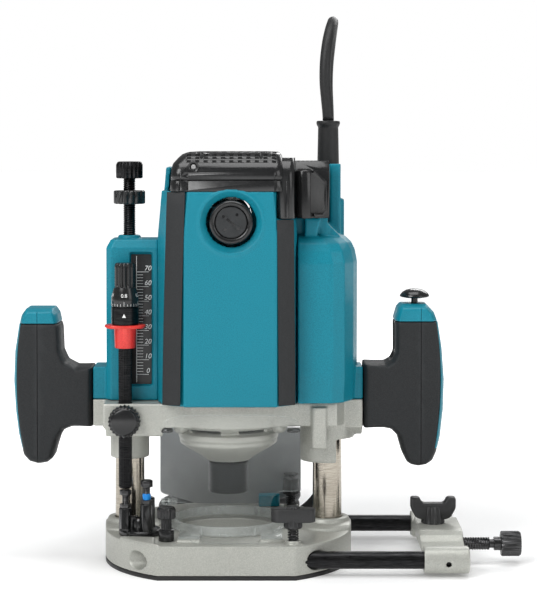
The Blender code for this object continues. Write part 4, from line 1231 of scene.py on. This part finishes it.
def make_depth_gauge():
    at = (*POLE_AT, 0)
    low, high = box_mm("depth_pole")
    collar = high.z - 11.8
    rows = [(4.6, z) for z in levels(low.z + 1.2, collar - 0.1, 0.4)]
    profile = [
        (0, low.z), (3.6, low.z), (4.1, low.z + 0.6), *rows, (8.8, collar), (9.2, collar + 0.5),
        (9.2, high.z - 0.3), (8.9, high.z), (0, high.z)
    ]

    def knurl(radius, height, turn):
        if not low.z + 1 < height < collar:
            return radius
        ring = abs(math.sin(math.pi * height / 1.6)) ** 0.5
        return radius - 0.45 * (1 - ring * abs(math.sin(12 * turn)) ** 0.5)

    piece("stop_pole", "pole", "black_rod", turned(profile, 144, at, ripple=knurl), replaces="depth_pole")
    arrow = bmesh.new()
    corners = [
        arrow.verts.new((POLE_AT[0] + x, POLE_AT[1] - 9.28 + abs(x) * 0.06, z))
        for x, z in ((-1.3, 169.6), (1.3, 169.6), (0, 172.2))
    ]
    arrow.faces.new(corners)
    solid = bmesh.ops.extrude_face_region(arrow, geom=list(arrow.faces))
    moved = [v for v in solid["geom"] if isinstance(v, bmesh.types.BMVert)]
    bmesh.ops.translate(arrow, verts=moved, vec=(0, 0.15, 0))
    bmesh.ops.recalc_face_normals(arrow, faces=arrow.faces)
    piece("stop_pole_arrow", "pole", "white_print", arrow)

    low, high = box_mm("setting_drum")
    waist, shoulder = low.z + 5.6, low.z + 12.6
    rows = [(6.95, z) for z in levels(shoulder + 0.8, high.z - 1.2, 2)]
    profile = [
        (0, low.z), (8.9, low.z), (9.2, low.z + 0.4), (9.2, waist), (7.6, shoulder), (6.9, shoulder + 0.4),
        *rows, (6.0, high.z), (0, high.z)
    ]
    grooves = flutes(12, 1.1, shoulder + 0.6, high.z - 0.4, 2)
    piece(
        "stop_drum", "drum", "black_plastic", turned(profile, 120, at, ripple=grooves),
        replaces="setting_drum"
    )

    def dial_radius(z):
        if z <= waist:
            return 9.2
        return 9.2 + (7.6 - 9.2) * (z - waist) / (shoulder - waist)

    def on_dial(angle, z, out=0.0):
        radius = dial_radius(z) + 0.03 + out
        return (at[0] + radius * math.sin(angle), at[1] - radius * math.cos(angle), z)

    marks = []
    for step in range(25):
        angle = 2 * math.pi * step / 25
        half, height = 0.012, (3.2 if step % 5 == 0 else 1.6)
        tick = [
            on_dial(angle - half, low.z + 0.5), on_dial(angle + half, low.z + 0.5),
            on_dial(angle + half, low.z + 0.5 + height)
        ]
        tick.append(on_dial(angle - half, low.z + 0.5 + height))
        outer = [
            on_dial(angle + turn, z, 0.06)
            for turn, z in (
                (-half, low.z + 0.5), (half, low.z + 0.5), (half, low.z + 0.5 + height),
                (-half, low.z + 0.5 + height)
            )
        ]
        marks.append(loft([tick, outer]))
    for index, label in enumerate(("0.8", "1.2", "1.6", "0", "0.4")):
        angle = 2 * math.pi * index / 5
        centre_z = low.z + 7.6

        def bend(x, z, out, angle=angle):
            return on_dial(angle + x / 8.6, centre_z + z, out)

        marks.append(printed(label, 2.5, None, 0.0, bend))
    piece("drum_figures", "drum", "white_print", marks[0], extra=marks[1:])

    low, high = box_mm("depth_pointer")
    cup = turned(
        [(5, low.z), (6.6, low.z), (6.95, low.z + 0.4), (7.5, high.z - 1.1), (5, high.z - 1.1)], 72, at,
        hollow=True
    )
    rim = oblong(high.x - low.x, high.y - low.y, 8, 12)
    flange = loft(
        [
            [(at[0] + px * k, at[1] + py * k, z) for px, py in rim]
            for z, k in ((high.z - 2.2, 0.9), (high.z - 1.2, 1.0), (high.z, 0.98))
        ]
    )
    piece(
        "stop_pointer", "pointer", "red_plastic", cup, add=[flange], cut=[rod(4.95, 140, 170, at)],
        edge=0.3, replaces="depth_pointer"
    )

    low, high = box_mm("pole_lock_knob")
    at = (middle("pole_lock_knob").x, 0, middle("pole_lock_knob").z)
    front = low.y
    profile = [
        (0, front + 0.3), (7.8, front), (8.6, front + 0.5), (8.9, front + 1.2), (10.3, front + 1.6),
        (10.9, front + 2.4)
    ]
    profile += [(10.9, -38.4), (9.6, -36.9), (3, -36.9), (3, high.y), (0, high.y)]
    knurl_knob = flutes(24, 0.8, front + 1.3, -37)

    def ripple(radius, height, turn):
        return knurl_knob(radius, height, turn) if radius > 9 else radius

    piece(
        "pole_clamp_knob", "pole_lock", "black_plastic", turned(profile, 144, at, "Y", ripple=ripple),
        replaces="pole_lock_knob"
    )


def make_motor():
    low, high = box_mm("collet_nut")
    bore = 6.35
    profile = [
        (bore + 0.6, low.z), (12.4, low.z), (13.4, low.z + 0.5), (13.8, low.z + 1.5), (13.8, high.z - 0.6),
        (13.2, high.z), (bore, high.z), (bore, low.z + 0.6)
    ]
    piece(
        "collet_cap", "spindle", "collet_steel", turned(profile, 96, hollow=True), edge=0.2,
        replaces="collet_nut"
    )


# ---- cord ----------------------------------------------------------------------------------------------

CORD_ROUTE = [  # from the guard, up and over to the back, down to the floor and along to the coil
    (70.2, 42.0, 302.7),
    (70.0, 42.0, 308.0),
    (69.0, 42.0, 318.0),
    (68.0, 42.0, 330.0),
    (68.2, 42.4, 344.0),
    (69.8, 46.8, 357.6),
    (72.2, 56.0, 368.0),
    (74.0, 66.2, 373.2),
    (74.6, 76.2, 374.6),
    (74.8, 86.2, 373.2),
    (74.4, 96.4, 368.0),
    (73.4, 105.6, 357.6),
    (72.2, 110.0, 344.0),
    (71.8, 110.4, 328.0),
    (72.6, 110.2, 306.0),
    (73.0, 109.4, 270.0),
    (72.6, 108.4, 220.0),
    (72.0, 107.6, 170.0),
    (71.6, 107.1, 120.0),
    (71.5, 107.0, 80.0),
    (71.5, 107.0, 56.0),
    (70.3, 107.0, 35.0),
    (64.4, 107.0, 21.4),
    (54.4, 107.0, 11.2),
    (42.0, 107.0, 5.7),
    (30.0, 107.0, 4.3),
    (18.0, 107.0, 4.2),
]


def length_of(points):
    return sum((Vector(q) - Vector(p)).length for p, q in zip(points, points[1:]))


def smooth_route(points, steps=20):
    """Points on a Catmull-Rom curve through the route's points."""
    ends = [points[0]] + list(points) + [points[-1]]
    fine = []
    for a, b, c, d in zip(ends, ends[1:], ends[2:], ends[3:]):
        a, b, c, d = map(Vector, (a, b, c, d))
        for i in range(steps):
            t = i / steps
            fine.append(
                0.5 * (
                    2 * b + (c - a) * t + (2 * a - 5 * b + 4 * c - d) * t**2 + (
                        3 * b - a - 3 * c + d
                    ) * t**3
                )
            )
    return fine + [Vector(points[-1])]


def evened(points, spacing):
    """The same line with its points evenly spaced."""
    count = round(length_of(points) / spacing)
    wanted = length_of(points) / count
    picked, walked = [Vector(points[0])], 0.0
    for p, q in zip(points, points[1:]):
        p, q = Vector(p), Vector(q)
        step = (q - p).length
        while step and walked + step >= wanted * len(picked) and len(picked) < count:
            picked.append(p.lerp(q, (wanted * len(picked) - walked) / step))
        walked += step
    return picked + [Vector(points[-1])]


def coil_points(mean, plug_entry):
    """The stored turns: in along the floor, out on top of them, in again, and then up into the plug."""
    floor_z, pitch = CORD_RADIUS + 0.2, 1.97 * CORD_RADIUS
    across = 2 * CORD_RADIUS
    last = plug_entry[1] - COIL_AT[1]
    # (turns walked, radius, height)
    plan = [(0.0, COIL_AT[1] - CORD_ROUTE[-1][1], floor_z), (0.5, mean + across, floor_z)]
    plan += [(2.4, mean - across, floor_z), (2.9, mean - across, floor_z + pitch)]
    plan += [(4.8, mean + across, floor_z + pitch), (5.3, mean + across, floor_z + 2 * pitch)]
    plan += [(7.0, last - 1, floor_z + 2 * pitch), (7.5, last, plug_entry[2])]
    points = []
    for (turn_a, radius_a, z_a), (turn_b, radius_b, z_b) in zip(plan, plan[1:]):
        count = round((turn_b - turn_a) * 48)
        for i in range(count):
            t = i / count
            ease = t * t * (3 - 2 * t)
            angle = math.radians(-90) - 2 * math.pi * (turn_a + (turn_b - turn_a) * t)
            radius, z = radius_a + (radius_b - radius_a) * ease, z_a + (z_b - z_a) * ease
            points.append((COIL_AT[0] + radius * math.cos(angle), COIL_AT[1] + radius * math.sin(angle), z))
    x, y, z = plug_entry
    return points + [(COIL_AT[0], y, z), (x, y, z)]


def make_cord():
    guard_low, guard_high = box_mm("cord_guard")
    x, y = middle("cord_guard").x, middle("cord_guard").y
    base, top = guard_low.z, guard_high.z
    profile = [
        (0, base), (8.2, base), (8.1, base + 6), (7.2, top - 5.4), (7.25, top - 4.6), (7.9, top - 3.4)
    ]
    profile += [
        (8.35, top - 2.2), (8.4, top - 1.2), (8.1, top - 0.3), (7.4, top), (4.3, top), (4.0, top - 0.6)
    ]
    profile.append((0, top - 0.6))
    piece("cord_sleeve", "motor", "cord_rubber", turned(profile, 72, (x, y, 0)), replaces="cord_guard")

    plug_low, plug_high = box_mm("plug")
    plug_y, plug_z = (plug_low.y + plug_high.y) / 2, (plug_low.z + plug_high.z) / 2
    entry, body_end = plug_low.x + 0.4, plug_low.x + PLUG_LENGTH
    plug_entry = (entry + 1, plug_y, plug_z)
    # Each section's x, half width, half height and corner radius
    sections = [(entry, 5.4, 5.4, 4.0), (entry + 6.5, 6.0, 6.0, 4.5), (entry + 9.5, 9.5, 8.0, 6.0)]
    sections += [(entry + 14.5, 15.5, 11.6, 8.7), (entry + 21, 16.6, 12.6, 9.0)]
    sections += [(body_end - 3, 17.0, 13.0, 9.0), (body_end, 16.4, 12.4, 9.0)]
    rings = []
    for section_x, wide, high, corner in sections:
        rings.append(
            [(section_x, plug_y + a, plug_z + b) for a, b in oblong(2 * wide, 2 * high, corner, 8)]
        )
    plug = piece("mains_plug", "base", "cord_rubber", loft(rings), edge=0.8, replaces="plug")
    end = plug_high.x
    pin = [(0, body_end - 2), (2.4, body_end - 2), (2.4, end - 1), (1.6, end), (0, end)]
    pins = [turned(pin, 32, (0, plug_y + side, plug_z), "X") for side in (-9.5, 9.5)]
    prongs = piece("mains_plug_pins", "base", "spring_steel", pins[0], extra=pins[1:])

    def line(mean):
        return evened(
            smooth_route(CORD_ROUTE, 16)[:-1] + smooth_route(coil_points(mean, plug_entry), 4), 3.2
        )

    low_mean, high_mean = 30.0, 50.0
    for _ in range(30):
        mean = (low_mean + high_mean) / 2
        if length_of(line(mean)) > CORD_LENGTH:
            high_mean = mean
        else:
            low_mean = mean
    points = line((low_mean + high_mean) / 2)
    cord = put("mains_cord", sweep(points, CORD_RADIUS, 16))
    cord.data.materials.append(FINISHES["cord_rubber"])
    cord.data.shade_smooth()
    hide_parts("cord", "cord_coil")
    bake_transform(cord)


# ---- scene ---------------------------------------------------------------------------------------------


def dress_frame():
    """The CAD nodes that still show take their slot's material."""
    slot_of = {entry["node"]: entry["material_slot"] for entry in frame["record"]["subparts"]}
    for name, obj in frame["nodes"].items():
        if not obj.hide_render:
            obj.data.materials.clear()
            obj.data.materials.append(FINISHES[slot_of[name]])


def area_light(name, at, aim, size, power):
    lamp = bpy.data.lights.new(name, "AREA")
    lamp.shape = "RECTANGLE"
    lamp.size, lamp.size_y = size
    lamp.energy = power
    obj = bpy.data.objects.new(name, lamp)
    obj.location = at
    obj.rotation_mode = "QUATERNION"
    obj.rotation_quaternion = (Vector(aim) - Vector(at)).to_track_quat("-Z", "Y")
    bpy.context.scene.collection.objects.link(obj)


def make_studio():
    scene = bpy.context.scene
    scene.view_settings.view_transform = "Standard"
    floor = bmesh.new()
    bmesh.ops.create_circle(floor, cap_ends=True, radius=14, segments=96)
    data = bpy.data.meshes.new("floor")
    floor.to_mesh(data)
    floor.free()
    obj = bpy.data.objects.new("floor", data)
    scene.collection.objects.link(obj)
    # The floor glows more and more with distance from the object, so that it meets the white background
    pale = Finish("floor_pale", 0.85)
    pale.colour((0.86, 0.86, 0.86), (pale.noise(400.0), (0.90, 0.90, 0.90)))
    radius = pale.tree.nodes.new("ShaderNodeVectorMath")
    radius.operation = "LENGTH"
    pale.link(pale.coordinates, radius.inputs[0])
    pale.shader.inputs["Emission Color"].default_value = (1, 1, 1, 1)
    glow = pale.remap(radius.outputs["Value"], 0.20, 0.80, 0.14, 0.9)
    pale.link(glow, pale.shader.inputs["Emission Strength"])
    data.materials.append(pale.material)

    world = bpy.data.worlds.new("studio")
    scene.world = world
    world.use_nodes = True
    nodes, links = world.node_tree.nodes, world.node_tree.links
    background = nodes["Background"]
    background.inputs["Color"].default_value = (1.0, 1.0, 1.0, 1)
    ray = nodes.new("ShaderNodeLightPath").outputs["Is Camera Ray"]
    level = nodes.new("ShaderNodeMapRange")
    level.inputs["To Min"].default_value = 0.24
    level.inputs["To Max"].default_value = 1.0
    links.new(ray, level.inputs["Value"])
    links.new(level.outputs["Result"], background.inputs["Strength"])

    area_light("key", (-0.75, -1.0, 1.05), (0, 0, 0.12), (0.7, 0.9), 14)
    area_light("fill", (1.1, -0.9, 0.7), (0, 0, 0.12), (0.8, 0.8), 4.2)
    area_light("top", (0.0, -0.1, 1.25), (0, 0, 0.1), (0.9, 0.7), 7.5)
    area_light("rim", (0.5, 1.2, 0.9), (0, 0, 0.15), (0.9, 0.5), 7)

    lens = bpy.data.cameras.new("camera")
    camera = bpy.data.objects.new("camera", lens)
    lens.lens, lens.sensor_width = 113.04, 36.0
    lens.shift_y = -0.19
    lens.clip_start, lens.clip_end = 0.05, 60
    tilt = math.radians(1.496)
    camera.location = (0.0015, -1.3066, 0.291)
    camera.rotation_euler = (math.radians(90) - tilt, 0, 0)
    scene.collection.objects.link(camera)
    scene.camera = camera


make_finishes()
make_studio()
make_cord()
make_base()
make_height_stop()
make_dust_parts()
make_stops()
make_clamps()
make_guide()
make_bracket()
make_housing()
make_vent_cap()
make_gauge_cover()
make_right_cover()
make_handles()
make_levers()
make_depth_gauge()
make_motor()
dress_frame()
